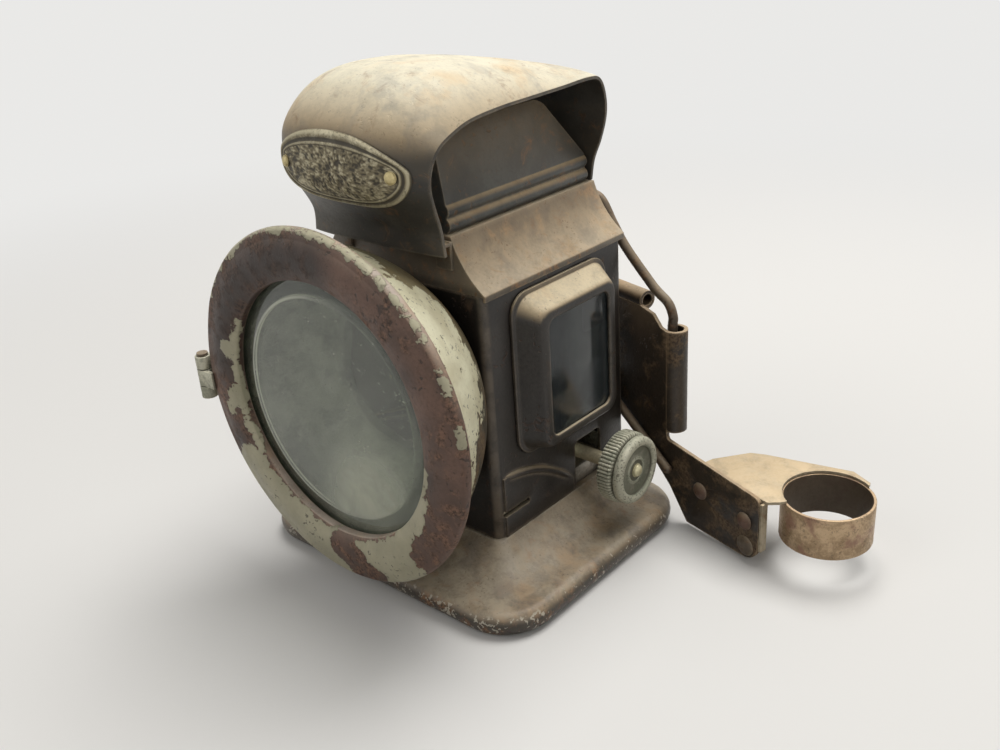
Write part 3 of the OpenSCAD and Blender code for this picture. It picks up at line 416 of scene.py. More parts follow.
    @staticmethod
    def join(obj: bpy.types.Object, *others: bpy.types.Object) -> bpy.types.Object:
        """Takes other objects' meshes into an object's own.

        Args:
            obj: The piece that stays.
            others: Pieces that go into it.

        Returns:
            The piece that stays.
        """
        work = bmesh.new()
        for part in (obj, *others):
            work.from_mesh(part.data)
        work.to_mesh(obj.data)
        work.free()
        for part in others:
            bpy.data.objects.remove(part)
        return obj


# Finishes


class Graph:
    """Node graph of one procedural finish, with its patterns measured in millimetres."""

    def __init__(self, name: str) -> None:
        """Starts a material with one shader.

        Args:
            name: Name of the material.
        """
        self.material = bpy.data.materials.new(name)
        self.material.use_nodes = True
        self.tree = self.material.node_tree
        self.tree.nodes.clear()
        self.output = self.add("ShaderNodeOutputMaterial")
        self.shader = self.add("ShaderNodeBsdfPrincipled")
        self.tree.links.new(self.shader.outputs["BSDF"], self.output.inputs["Surface"])
        self.coords = self.add("ShaderNodeTexCoord")
        self.geometry = self.add("ShaderNodeNewGeometry")
        scale = self.add("ShaderNodeVectorMath", operation="SCALE")
        self.tree.links.new(self.coords.outputs["Object"], scale.inputs[0])
        scale.inputs["Scale"].default_value = 1 / MM
        self.place = scale.outputs["Vector"]

    def add(self, kind: str, **settings: object) -> bpy.types.Node:
        """Adds a node.

        Args:
            kind: Blender's name for the kind of node.
            settings: Properties of the node and their values.

        Returns:
            The new node.
        """
        node = self.tree.nodes.new(kind)
        for key, value in settings.items():
            setattr(node, key, value)
        return node

    def feed(self, socket: Socket, value: Value) -> None:
        """Links a socket to another, or sets it to a plain value.

        Args:
            socket: The socket to feed.
            value: Another socket, a number or a colour.
        """
        if isinstance(value, bpy.types.NodeSocket):
            self.tree.links.new(value, socket)
        elif socket.type == "RGBA":
            socket.default_value = (*value, 1.0)
        else:
            socket.default_value = value

    def math(self, operation: str, a: Value, b: Value = 0.0, clamp: bool = False) -> Socket:
        """Works on one or two values.

        Args:
            operation: Blender's name for the sum.
            a: First value.
            b: Second value, if the sum takes two.
            clamp: True to hold the result between 0 and 1.

        Returns:
            The result.
        """
        node = self.add("ShaderNodeMath", operation=operation, use_clamp=clamp)
        self.feed(node.inputs[0], a)
        self.feed(node.inputs[1], b)
        return node.outputs[0]

    def times(self, a: Value, b: Value) -> Socket:
        """Product of two values."""
        return self.math("MULTIPLY", a, b)

    def plus(self, a: Value, b: Value, clamp: bool = False) -> Socket:
        """Sum of two values, held between 0 and 1 if clamp is true."""
        return self.math("ADD", a, b, clamp)

    def less(self, a: Value, b: Value) -> Socket:
        """What is left of a value once another is taken from it."""
        return self.math("SUBTRACT", a, b)

    def most(self, a: Value, b: Value) -> Socket:
        """The higher of two values."""
        return self.math("MAXIMUM", a, b)

    def least(self, a: Value, b: Value) -> Socket:
        """The lower of two values."""
        return self.math("MINIMUM", a, b)

    def span(self, value: Value, low: float, high: float, to: Flat = (0.0, 1.0)) -> Socket:
        """Smooth step of a value from low to high.

        Args:
            value: The value.
            low: Where the step starts.
            high: Where the step ends.
            to: The results at low and at high.

        Returns:
            The stepped value.
        """
        node = self.add("ShaderNodeMapRange", interpolation_type="SMOOTHSTEP", clamp=True)
        for socket, number in zip(node.inputs, (value, low, high, *to)):
            self.feed(socket, number)
        return node.outputs[0]

    def mix(self, share: Value, a: Value, b: Value) -> Socket:
        """Colour between two others.

        Args:
            share: Share of the second colour.
            a: First colour.
            b: Second colour.

        Returns:
            The mixed colour.
        """
        node = self.add("ShaderNodeMix", data_type="RGBA")
        self.feed(node.inputs[0], share)
        self.feed(node.inputs[6], a)
        self.feed(node.inputs[7], b)
        return node.outputs[2]

    def noise(self, size: float, detail: float = 3.0, rough: float = 0.55, warp: float = 0.0,
              shift: float = 0.0) -> Socket:
        """Cloudy pattern.

        Args:
            size: Size of the clouds in millimetres.
            detail: Finer octaves.
            rough: Strength of the finer octaves.
            warp: Distortion of the pattern.
            shift: Moves the pattern, so that two of one size differ.

        Returns:
            A number around a half.
        """
        mapping = self.add("ShaderNodeMapping")
        self.feed(mapping.inputs["Vector"], self.place)
        mapping.inputs["Location"].default_value = (shift, shift * 0.7, -shift)
        node = self.add("ShaderNodeTexNoise")
        self.feed(node.inputs["Vector"], mapping.outputs[0])
        settings = {"Scale": 1 / size, "Detail": detail, "Roughness": rough, "Distortion": warp}
        for key, value in settings.items():
            node.inputs[key].default_value = value
        return node.outputs["Fac"]

    def specks(self, size: float, share: float, shift: float = 0.0) -> Socket:
        """Ragged specks, thicker in some places than in others.

        Args:
            size: Size of the specks in millimetres.
            share: Rough share of the surface that they cover.
            shift: Moves the pattern, so that two of one size differ.

        Returns:
            1 on a speck and 0 beside it.
        """
        fine = self.noise(size, 2, 0.5, 0.6, shift=shift)
        cloud = self.noise(size * 7, 2, shift=shift + 3)
        lifted = self.plus(fine, self.times(self.less(cloud, 0.5), 0.5))
        return self.span(lifted, 0.74 - share, 0.80 - share)

    def edge(self, reach: float) -> Socket:
        """Mask of the crisp outer edges.

        Args:
            reach: Width of the edges in millimetres.

        Returns:
            1 on an edge and 0 away from it.
        """
        bevel = self.add("ShaderNodeBevel", samples=4)
        bevel.inputs["Radius"].default_value = reach * MM
        dot = self.add("ShaderNodeVectorMath", operation="DOT_PRODUCT")
        self.feed(dot.inputs[0], bevel.outputs["Normal"])
        self.feed(dot.inputs[1], self.geometry.outputs["Normal"])
        return self.span(dot.outputs["Value"], 0.985, 0.86)

    def hollow(self, reach: float) -> Socket:
        """Mask of inner corners and hollows, from ambient occlusion, which paints shade there.

        Args:
            reach: How far in millimetres to look for walls.

        Returns:
            1 deep in a hollow and 0 in the open.
        """
        node = self.add("ShaderNodeAmbientOcclusion", samples=4)
        node.inputs["Distance"].default_value = reach * MM
        return self.span(node.outputs["AO"], 0.85, 0.25)

    def axis(self, vector: Socket, name: str) -> Socket:
        """One part of a vector.

        Args:
            vector: The vector.
            name: X, Y or Z.

        Returns:
            That part.
        """
        node = self.add("ShaderNodeSeparateXYZ")
        self.feed(node.inputs[0], vector)
        return node.outputs[name]

    def skyward(self) -> Socket:
        """How far the surface faces up at rest, from -1 to 1."""
        return self.axis(self.coords.outputs["Normal"], "Z")

    def near(self, patches: Sequence[Patch]) -> Socket:
        """Depth inside the deepest of some patches, in millimetres.

        Args:
            patches: The patches.

        Returns:
            A number above 0 inside a patch.
        """
        depth: Value = NOWHERE
        for patch in patches:
            node = self.add("ShaderNodeVectorMath", operation="DISTANCE")
            self.feed(node.inputs[0], self.place)
            node.inputs[1].default_value = patch.at
            depth = self.most(depth, self.less(patch.reach, node.outputs["Value"]))
        return depth

    def dress(self, colour: Value, rough: Value, metal: Value, height: Value,
              relief: float) -> bpy.types.Material:
        """Joins the patterns to the shader.

        Args:
            colour: Base colour.
            rough: Roughness.
            metal: Share of bare metal.
            height: Height of the bump pattern.
            relief: Depth of the bump in millimetres.

        Returns:
            The finished material.
        """
        self.feed(self.shader.inputs["Base Color"], colour)
        self.feed(self.shader.inputs["Roughness"], rough)
        self.feed(self.shader.inputs["Metallic"], metal)
        bump = self.add("ShaderNodeBump")
        bump.inputs["Distance"].default_value = relief * MM
        self.feed(bump.inputs["Height"], height)
        self.feed(self.shader.inputs["Normal"], bump.outputs["Normal"])
        return self.material


@dataclass(frozen=True)
class Patch:
    """A ball of space in which paint has stayed on or come off, a highlight is painted, a coat is darker, or
    a film has gathered along with painted light.
    """

    at: Point
    reach: float


def shaded(colour: Colour, by: Colour) -> Colour:
    """A colour with each of its three parts scaled."""
    return colour[0] * by[0], colour[1] * by[1], colour[2] * by[2]


# What a colour is scaled by where the dust and painted light are warm, where they are ashen, and for the
# painted shade on the glass's ground band
WARM: Colour = (0.90, 0.71, 0.52)
ASHEN: Colour = (0.42, 0.43, 0.50)
BEVEL_SHADE: Colour = (0.62, 0.62, 0.62)


@dataclass(frozen=True)
class AgedCoat:
    """Old paint, japan or bare iron, with rust, dust on what faces up that is also painted top light, grime
    and painted shade in hollows, and rubbed edges.

    Attributes:
        name: Name of the material.
        coat: Colour of the coat.
        deep: Colour of its dark clouds, and of grime and painted shade in hollows.
        rust: Colour of rust.
        rust_deep: Colour of pits and specks.
        worn: Colour of rubbed edges.
        dust_and_light: Colour of settled dust, which is also painted light on what faces up.
        rust_cover: Rough share of the surface that has rusted.
        dust_and_light_cover: Strength of the dust and painted top light on what faces up.
        dust_and_light_from: How far a surface faces up where the dust and painted top light start, from -1 to
            1.
        wear: Strength of the rubbed edges.
        rough: Roughness of the clean coat.
        shine: Specular level.
        blotch: Size of the largest clouds in millimetres.
        edge_reach: Width of the rubbed edges in millimetres.
        relief: Depth of the bump in millimetres.
        metal: Share of bare metal.
        grime_and_shade: Strength of the grime and painted shade in hollows.
        evenness: Strength of the dust and painted top light where they are thinnest, as a share.
        chips: Rough share of the coat that is chipped low on the piece.
        chips_below: Heights in millimetres where chips start and where they are all there.
        specked: Strength of the fine dark specks.
        slope_warm: How warm the dust and painted light are on slopes; flat tops stay palest.
        ashen: Strength of grey clouds in the dust and painted light.
        stained: Strength of soft rust stains over the dust.
        corners: Strength of the rubbing on upright round corners.
    """

    name: str
    coat: Colour
    deep: Colour
    rust: Colour
    rust_deep: Colour
    worn: Colour
    dust_and_light: Colour
    rust_cover: float = 0.3
    dust_and_light_cover: float = 0.6
    dust_and_light_from: float = 0.15
    wear: float = 0.8
    rough: float = 0.5
    shine: float = 0.4
    blotch: float = 24.0
    edge_reach: float = 0.9
    relief: float = 0.1
    metal: float = 0.0
    grime_and_shade: float = 0.7
    evenness: float = 0.72
    chips: float = 0.0
    chips_below: Flat = (6.4, 5.0)
    specked: float = 0.45
    slope_warm: float = 0.5
    ashen: float = 0.0
    stained: float = 0.0
    corners: float = 0.0

    def make(self) -> bpy.types.Material:
        """Makes the material.

        Returns:
            The new material.
        """
        g = Graph(self.name)
        colour, rough, height = self.layers(g)
        g.shader.inputs["Specular IOR Level"].default_value = self.shine
        return g.dress(colour, rough, self.metal, height, self.relief)

    def layers(self, g: Graph) -> tuple[Socket, Socket, Socket]:
        """Lays the coats over each other.

        Args:
            g: Graph to build in.

        Returns:
            Colour, roughness and height.
        """
        broad = g.noise(self.blotch, 3)
        middle = g.noise(self.blotch * 0.24, 4, 0.6, 0.4)
        grain = g.noise(0.8, 3, 0.65)
        pits = g.specks(1.6, 0.08)
        limit = 0.68 - 0.34 * self.rust_cover
        rusted = g.span(g.plus(g.times(middle, 0.6), g.times(broad, 0.4)), limit - 0.05, limit + 0.07)
        patchy = g.span(g.plus(middle, g.times(grain, 0.6)), 0.5, 0.95, (self.evenness, 1.0))
        # Dust on what faces up, which is also painted top light
        settled_and_lit = g.times(g.span(g.skyward(), self.dust_and_light_from, 0.85), patchy)
        settled_and_lit = g.times(settled_and_lit, self.dust_and_light_cover)
        colour = g.mix(g.span(broad, 0.36, 0.64), self.coat, self.deep)
        colour = g.mix(g.span(grain, 0.4, 0.75, (0.0, 0.5)), colour, self.deep)
        rust = g.mix(g.span(grain, 0.35, 0.7), self.rust, self.rust_deep)
        colour = g.mix(g.times(rusted, 0.85), colour, rust)
        colour = g.mix(g.times(pits, 0.7), colour, self.rust_deep)
        colour = g.mix(settled_and_lit, colour, self.dust_and_light_colour(g))
        colour = g.mix(g.times(g.specks(0.7, 0.05, 41), self.specked), colour, self.rust_deep)
        if self.stained:
            stain = g.span(g.noise(5.5, 6, 0.72, 0.7, shift=61), 0.54, 0.78, (0.0, self.stained))
            colour = g.mix(stain, colour, self.rust)
        # Grime and painted shade in hollows, from ambient occlusion
        colour = g.mix(g.times(g.hollow(5.0), self.grime_and_shade), colour, self.deep)
        colour = g.mix(g.times(self.rubbed(g, middle), self.wear), colour, self.worn)
        rough = g.plus(g.times(grain, 0.24), self.rough - 0.12)
        rough = g.plus(rough, g.times(g.most(rusted, settled_and_lit), 0.2), clamp=True)
        height = g.plus(g.times(grain, 0.7), g.times(rusted, 0.35))
        return colour, rough, g.less(height, g.times(pits, 0.8))

    def dust_and_light_colour(self, g: Graph) -> Socket:
        """Colour of the dust and painted top light, warmer on slopes and in clouds, and ashen in others.

        Args:
            g: Graph to build in.

        Returns:
            The colour.
        """
        warm = g.span(g.noise(self.blotch * 0.6, 4, 0.6, shift=31), 0.45, 0.72, (0.0, 0.7))
        warm = g.most(warm, g.span(g.skyward(), 0.95, 0.35, (0.0, self.slope_warm)))
        dust_and_light = g.mix(warm, self.dust_and_light, shaded(self.dust_and_light, WARM))
        if self.ashen:
            grey = g.span(g.noise(self.blotch * 0.45, 4, 0.6, 0.4, shift=47), 0.5, 0.68, (0.0, self.ashen))
            dust_and_light = g.mix(grey, dust_and_light, shaded(self.dust_and_light, ASHEN))
        return dust_and_light

    def rubbed(self, g: Graph, cloud: Socket) -> Socket:
        """Mask of where the coat is rubbed or chipped off.

        Args:
            g: Graph to build in.
            cloud: Pattern that breaks the rubbing up.

        Returns:
            1 where the coat is gone and 0 where it is whole.
        """
        gone = g.times(g.edge(self.edge_reach), g.span(cloud, 0.34, 0.6, (0.25, 1.0)))
        if self.chips:
            low = g.span(g.axis(g.place, "Z"), *self.chips_below)
            gone = g.most(gone, g.times(g.specks(1.1, self.chips, 53), low))
        if self.corners:
            # The normal's X times its Y is 0 on the flat walls and highest half way round a corner
            turn = g.times(*(g.axis(g.coords.outputs["Normal"], name) for name in "XY"))
            turn = g.span(g.math("ABSOLUTE", turn), 0.1, 0.45, (0.0, self.corners))
            gone = g.most(gone, g.times(turn, g.span(cloud, 0.3, 0.6, (0.3, 1.0))))
        return gone


@dataclass(frozen=True)
class FlakedCoat(AgedCoat):
    """An aged coat with a thick top paint that stays on in patches.

    Attributes:
        paint: Colour of the top paint.
        paint_deep: Colour of its dark clouds and of its edges.
        kept: Where the paint has stayed on; on the bezel's bead some of it is also a painted highlight.
        lost: Where it has come off again inside those patches.
        darkened: Where the coat under it is darker.
        darkening: Strength of that darkening.
        darkening_fade: Depths in the darker patches, in millimetres, where the darkening starts and is
            strongest.
        ragged: How far the paint's edges wander in millimetres.
        fray: How far they wander in small jags, in millimetres.
        step: Height of the paint's edge, as a share of the relief.
    """

    paint: Colour = (0.6, 0.56, 0.4)
    paint_deep: Colour = (0.4, 0.37, 0.24)
    kept: tuple[Patch, ...] = ()
    lost: tuple[Patch, ...] = ()
    darkened: tuple[Patch, ...] = ()
    darkening: float = 0.94
    darkening_fade: Flat = (-6.0, 4.0)
    ragged: float = 9.0
    fray: float = 3.0
    step: float = 1.6

    def layers(self, g: Graph) -> tuple[Socket, Socket, Socket]:
        """Lays the top paint over the aged coat.

        Args:
            g: Graph to build in.

        Returns:
            Colour, roughness and height.
        """
        under, rough, height = super().layers(g)
        # Darker patches on the coat under the paint
        if self.darkened:
            darkening = g.span(g.near(self.darkened), *self.darkening_fade, (0.0, self.darkening))
            under = g.mix(darkening, under, self.rust_deep)
        depth = g.near(self.kept)
        if self.lost:
            depth = g.least(depth, g.times(g.near(self.lost), -1.0))
        jag = g.times(g.less(g.noise(7.0, 4, 0.62, 0.3), 0.5), self.ragged * 2)
        fray = g.times(g.less(g.noise(1.8, 3, 0.6, shift=11), 0.5), self.fray * 2)
        depth = g.plus(depth, g.plus(jag, fray))
        on = g.span(depth, -0.12, 0.2)
        paint = g.mix(g.span(g.noise(11.0, 4, shift=5), 0.35, 0.7), self.paint, self.paint_deep)
        paint = g.mix(g.times(g.specks(1.1, 0.08, 7), 0.7), paint, self.rust_deep)
        paint = g.mix(g.span(g.noise(0.9, 3, 0.6, shift=3), 0.45, 0.8, (0.0, 0.4)), paint, self.paint_deep)
        rim = g.times(g.span(depth, 1.4, 0.1), 0.5)
        paint = g.mix(rim, paint, self.paint_deep)
        colour = g.mix(on, under, paint)
        rough = g.less(rough, g.times(on, 0.06))
        height = g.plus(g.times(height, 0.6), g.times(on, self.step))
        return colour, rough, height


@dataclass(frozen=True)
class OldMetal:
    """Bare brass, copper, tin or steel, tarnished, with dirt and painted shade in its hollows and bright
    edges.

    Attributes:
        name: Name of the material.
        bright: Colour of the clean metal.
        tarnish: Colour of the dulled metal.
        dirt_and_shade: Colour of dirt and painted shade in hollows, and of pits.
        stain: Colour of the stains.
        metal: Share of bare metal.
        rough: Roughness of the clean metal.
        tarnish_cover: Rough share of the surface that is dulled.
        stain_cover: Rough share of the surface that is stained.
        wear: Strength of the bright edges.
        dust_and_light: Colour of settled dust, which is also painted light on what faces up.
        dust_and_light_cover: Strength of the dust and painted top light on what faces up.
        relief: Depth of the bump in millimetres.
        grime_and_shade: Strength of the dirt and painted shade in hollows.
        grain_size: Size of the grain in millimetres.
        raised: Name under which the mesh says how raised each point is, if it does; on the clip's ring that
            is a painted highlight and painted shade.
        pitted: Strength of the fine dark pits.
    """

    name: str
    bright: Colour
    tarnish: Colour
    dirt_and_shade: Colour
    stain: Colour
    metal: float = 0.6
    rough: float = 0.42
    tarnish_cover: float = 0.5
    stain_cover: float = 0.2
    wear: float = 0.7
    dust_and_light: Colour = (0.5, 0.45, 0.35)
    dust_and_light_cover: float = 0.0
    relief: float = 0.06
    grime_and_shade: float = 0.8
    grain_size: float = 0.7
    raised: str = ""
    pitted: float = 0.0

    def make(self) -> bpy.types.Material:
        """Makes the material.

        Returns:
            The new material.
        """
        g = Graph(self.name)
        cloud = g.noise(6.5, 4, 0.6, 0.5)
        grain = g.noise(self.grain_size, 3, 0.6)
        limit = 0.66 - 0.32 * self.tarnish_cover
        dulled = g.span(g.plus(g.times(cloud, 0.7), g.times(grain, 0.3)), limit - 0.1, limit + 0.12)
        colour = g.mix(dulled, self.bright, self.tarnish)
        stain_limit = 0.7 - 0.32 * self.stain_cover
        stained = g.span(g.noise(9.0, 4, 0.6, 0.6, shift=17), stain_limit - 0.05, stain_limit + 0.08)
        colour = g.mix(g.times(stained, 0.8), colour, self.stain)
        # Dust on what faces up, which is also painted top light
        settled_and_lit = g.times(g.span(g.skyward(), 0.3, 0.95), self.dust_and_light_cover)
        settled_and_lit = g.times(settled_and_lit, g.span(g.noise(5.0, 4, 0.65, 0.3, shift=9), 0.3, 0.6, (0.55, 1.0)))
        colour = g.mix(settled_and_lit, colour, self.dust_and_light)
        # Dirt and painted shade in hollows, from ambient occlusion
        sunk = g.times(g.hollow(2.5), self.grime_and_shade)
        edge = g.times(g.edge(0.5), self.wear)
        # On the clip's ring this paints a highlight on its upper edge and shade inside
        if self.raised:
            relief = g.add("ShaderNodeAttribute", attribute_name=self.raised).outputs["Fac"]
            sunk = g.most(sunk, g.span(relief, 0.5, 0.05, (0.0, 0.9)))
            edge = g.most(edge, g.span(relief, 0.55, 1.0, (0.0, 0.8)))
        if self.pitted:
            sunk = g.most(sunk, g.times(g.specks(0.6, 0.1 + 0.1 * self.pitted, 23), self.pitted))
        colour = g.mix(edge, colour, self.bright)
        colour = g.mix(sunk, colour, self.dirt_and_shade)
        rough = g.plus(g.times(grain, 0.25), self.rough - 0.12)
        rough = g.plus(rough, g.times(g.most(dulled, sunk), 0.18), clamp=True)
        metal = g.times(g.less(1.0, g.most(sunk, stained)), self.metal)
        height = g.plus(g.times(grain, 0.8), g.times(dulled, 0.3))
        return g.dress(colour, rough, metal, height, self.relief)


@dataclass(frozen=True)
class OldGlass:
    """Hazy old glass that lets lamplight through.

    Attributes:
        name: Name of the material.
        tint: Colour of the glass.
        film: Colour of the film of smears and specks on it, which also paints light on its lower part and a
            highlight on the ground edge's line.
        clear: Share of light that clean glass lets through.
        rough: Roughness.
        haze: How much of that light the film takes.
        shine: Specular level.
        streak: Strength of the smears.
        settled_and_lit: Where a film has gathered, which also paints light there.
        settled_and_lit_fade: Depths in those patches, in millimetres, where that film and painted light start
            and are thickest.
        ground_r: Radius of the ground edge's inner line, or 0 for plain glass.
        ground_about: Point on the axis of the ground edge.
        line_half: Distances from that line, in millimetres, where its painted highlight ends and where it is
            at full strength.
        line_lit: Places along X, in millimetres, between which the line comes to its full light.
        ior: Refractive index.
    """

    name: str
    tint: Colour
    film: Colour
    clear: float
    rough: float
    haze: float = 0.3
    shine: float = 0.5
    streak: float = 0.6
    settled_and_lit: tuple[Patch, ...] = ()
    settled_and_lit_fade: Flat = (-6.0, 16.0)
    ground_r: float = 0.0
    ground_about: Point = (0.0, 0.0, LENS_Z)
    line_half: Flat = (0.7, 0.1)
    line_lit: Flat = (16.0, -14.0)
    ior: float = 1.5

    def ground(self, g: Graph) -> tuple[Socket, Socket]:
        """Masks of the ground edge.

        Args:
            g: Graph to build in.

        Returns:
            The mask of its inner line, where a highlight is painted, and that of the band outside the line,
            where shade is painted.
        """
        flat = g.add("ShaderNodeVectorMath", operation="MULTIPLY")
        g.feed(flat.inputs[0], g.place)
        flat.inputs[1].default_value = (1.0, 0.0, 1.0)
        reach = g.add("ShaderNodeVectorMath", operation="DISTANCE")
        g.feed(reach.inputs[0], flat.outputs["Vector"])
        reach.inputs[1].default_value = self.ground_about
        past = g.less(reach.outputs["Value"], self.ground_r)
        line = g.span(g.math("ABSOLUTE", past), *self.line_half)
        return g.times(line, g.span(g.axis(g.place, "X"), *self.line_lit)), g.span(past, 0.0, 0.8)

    def make(self) -> bpy.types.Material:
        """Makes the material.

        Returns:
            The new material.
        """
        g = Graph(self.name)
        smear = g.noise(16.0, 4, 0.6, 0.8)
        dirt_and_light = g.most(g.span(smear, 0.4, 0.8, (0.0, self.streak)), g.times(g.specks(0.7, 0.04, 4), 0.7))
        tint: Value = self.tint
        # A film in the settled patches, which also paints light there
        if self.settled_and_lit:
            film = g.span(g.near(self.settled_and_lit), *self.settled_and_lit_fade, (0.0, 0.9))
            dirt_and_light = g.most(dirt_and_light, g.times(film, g.span(smear, 0.25, 0.65, (0.6, 1.0))))
        # A painted highlight on the ground edge's line, and painted shade on the band outside it
        if self.ground_r:
            line, band = self.ground(g)
            dirt_and_light = g.most(g.times(dirt_and_light, g.span(band, 0.0, 1.0, (1.0, 0.45))), g.times(line, 0.75))
            tint = g.mix(band, self.tint, shaded(self.tint, BEVEL_SHADE))
        colour = g.mix(dirt_and_light, tint, self.film)
        rough = g.span(smear, 0.3, 0.75, (self.rough * 0.5, self.rough * 1.5))
        lost = g.times(dirt_and_light, self.haze)
        g.feed(g.shader.inputs["Transmission Weight"], g.less(self.clear, lost))
        g.shader.inputs["IOR"].default_value = self.ior
        g.shader.inputs["Specular IOR Level"].default_value = self.shine
        self.pass_light(g)
        return g.dress(colour, rough, 0.0, g.noise(9.0, 2), relief=0.02)

    def pass_light(self, g: Graph) -> None:
        """Lets the light of lamps through the glass, tinted, where it would cast a shadow.

        Args:
            g: Graph to build in.
        """
        clear = g.add("ShaderNodeBsdfTransparent")
        clear.inputs["Color"].default_value = (*self.tint, 1.0)
        path = g.add("ShaderNodeLightPath")
        pick = g.add("ShaderNodeMixShader")
        g.feed(pick.inputs[0], path.outputs["Is Shadow Ray"])
        g.feed(pick.inputs[1], g.shader.outputs["BSDF"])
        g.feed(pick.inputs[2], clear.outputs["BSDF"])
        g.feed(g.output.inputs["Surface"], pick.outputs[0])


@dataclass(frozen=True)
class WickCotton:
    """Woven lamp cotton, charred at its top.

    Attributes:
        name: Name of the material.
        thread: Colour of the threads.
        shade: Colour between the threads.
        char: Colour of the charred end.
        char_from: Height in millimetres where the char starts.
        char_fade: Height over which it comes to its full strength.
        pitch: Distance between threads in millimetres.
        waves: Waves in a unit of Blender's wave pattern.
    """

    name: str
    thread: Colour
    shade: Colour
    char: Colour
    char_from: float
    char_fade: float = 2.5
    pitch: float = 0.9
    waves: float = 3.2

    def make(self) -> bpy.types.Material:
        """Makes the material.

        Returns:
            The new material.
        """
        g = Graph(self.name)
        waves = []
        for direction in ("X", "Z"):
            wave = g.add("ShaderNodeTexWave", bands_direction=direction)
            g.feed(wave.inputs["Vector"], g.place)
            wave.inputs["Scale"].default_value = 1 / self.pitch / self.waves
            wave.inputs["Distortion"].default_value = 0.6
            waves.append(wave.outputs["Fac"])
        weave = g.times(*waves)
        colour = g.mix(weave, self.shade, self.thread)
        scorched = g.plus(g.axis(g.place, "Z"), g.times(g.noise(1.5), 2.0))
        charred = g.span(scorched, self.char_from, self.char_from + self.char_fade)
        colour = g.mix(charred, colour, self.char)
        return g.dress(colour, g.span(weave, 0.0, 1.0, (0.95, 0.8)), 0.0, weave, relief=0.25)


def bell_patches(spots: Sequence[Spot], bow: float = 2.0) -> tuple[Patch, ...]:
    """Patches on the bell's flare.

    Args:
        spots: Angle in degrees about the lens, distance forward and reach of each.
        bow: How far the flare stands out past a straight line from throat to mouth.

    Returns:
        The patches.
    """
    slope = (MOUTH[0] - THROAT[0]) / (MOUTH[1] - THROAT[1])
    found = []
    for angle, forward, reach in spots:
        radius = THROAT[0] + (forward - THROAT[1]) * slope + bow
        a = math.radians(angle)
        found.append(Patch((radius * math.cos(a), -forward, LENS_Z + radius * math.sin(a)), reach))
    return tuple(found)


def bezel_patches(spots: Sequence[Spot]) -> tuple[Patch, ...]:
    """Patches on the bezel's face.

    Args:
        spots: Angle in degrees about the lens, radius and reach of each.

    Returns:
        The patches.
    """
    found = []
    for angle, radius, reach in spots:
        a = math.radians(angle)
        found.append(Patch((radius * math.cos(a), -BEZEL_FACE, LENS_Z + radius * math.sin(a)), reach))
    return tuple(found)


# The bell keeps its cream paint along its mouth, widest at the top right, with islands elsewhere
BELL_KEPT: list[Spot] = [
    *((a, 48.5, 7.0) for a in range(9, 58, 7)),
    *((a, 43.5, 6.0) for a in range(14, 54, 7)),
    *((a, 38.5, 3.5) for a in range(20, 46, 8)),
    *((a, 49.5, 4.0) for a in range(-16, 12, 7)),
    *((a, 50.0, 4.8) for a in range(58, 116, 6)),
    (126, 49.5, 4.2), (137, 51.0, 2.6), (163, 46.5, 4.6), (171, 50.0, 4.4), (203, 51.0, 2.4),
    (232, 45.0, 2.8), (241, 50.0, 5.2), (252, 49.0, 3.8), (287, 50.6, 3.0), (311, 48.5, 3.4),
]
# The bezel keeps its paint below, on its inner edge and in bits on its bead, where the thin line along the
# top and left is also a painted highlight, and is darker at the upper left
BEZEL_KEPT_AND_HIGHLIGHT: list[Spot] = [
    *((a, 40.0, 6.5) for a in range(218, 312, 8)),
    *((a, 34.5, 3.0) for a in range(312, 342, 6)),
    # Along the top and left of the bead this thin line of paint is also a painted highlight
    *((a, 46.8, 2.3) for a in (*range(62, 152, 3), 56, 50, 47, 40, 37, 28, 25, 22, 10, 7)),
    *((a, 33.6, 1.5) for a in (*range(150, 216, 3), *range(312, 352, 3))),
    (166, 35.5, 2.6), (188, 35.0, 3.0), (192, 38.0, 2.2),
]
BEZEL_LOST: list[Spot] = [(272, 37.0, 4.6), (278, 40.5, 5.0), (284, 44.0, 5.0), (318, 42.0, 5.0)]
# Darker patches, mostly at the upper left of the bezel's face
BEZEL_DARKENED: list[Spot] = [
    *((a, 38.0, 4.4) for a in range(84, 180, 8)),
    (206, 41.0, 3.0), (30, 36.0, 1.0), (350, 35.5, 1.5),
]

RUST_BROWN: Colour = (0.13, 0.062, 0.03)
RUST_DARK: Colour = (0.05, 0.026, 0.015)
# Soot black, for the japan's dark clouds and its painted shade in hollows
SOOT_AND_SHADE: Colour = (0.012, 0.010, 0.009)

JAPAN = AgedCoat(
    "japan_black", coat=(0.034, 0.029, 0.024), deep=SOOT_AND_SHADE, rust=(0.085, 0.058, 0.038), rust_deep=RUST_DARK,
    worn=(0.26, 0.21, 0.155), dust_and_light=(0.50, 0.42, 0.29), rust_cover=0.22, dust_and_light_cover=0.85, rough=0.4,
    shine=0.45, edge_reach=1.2, corners=0.55)
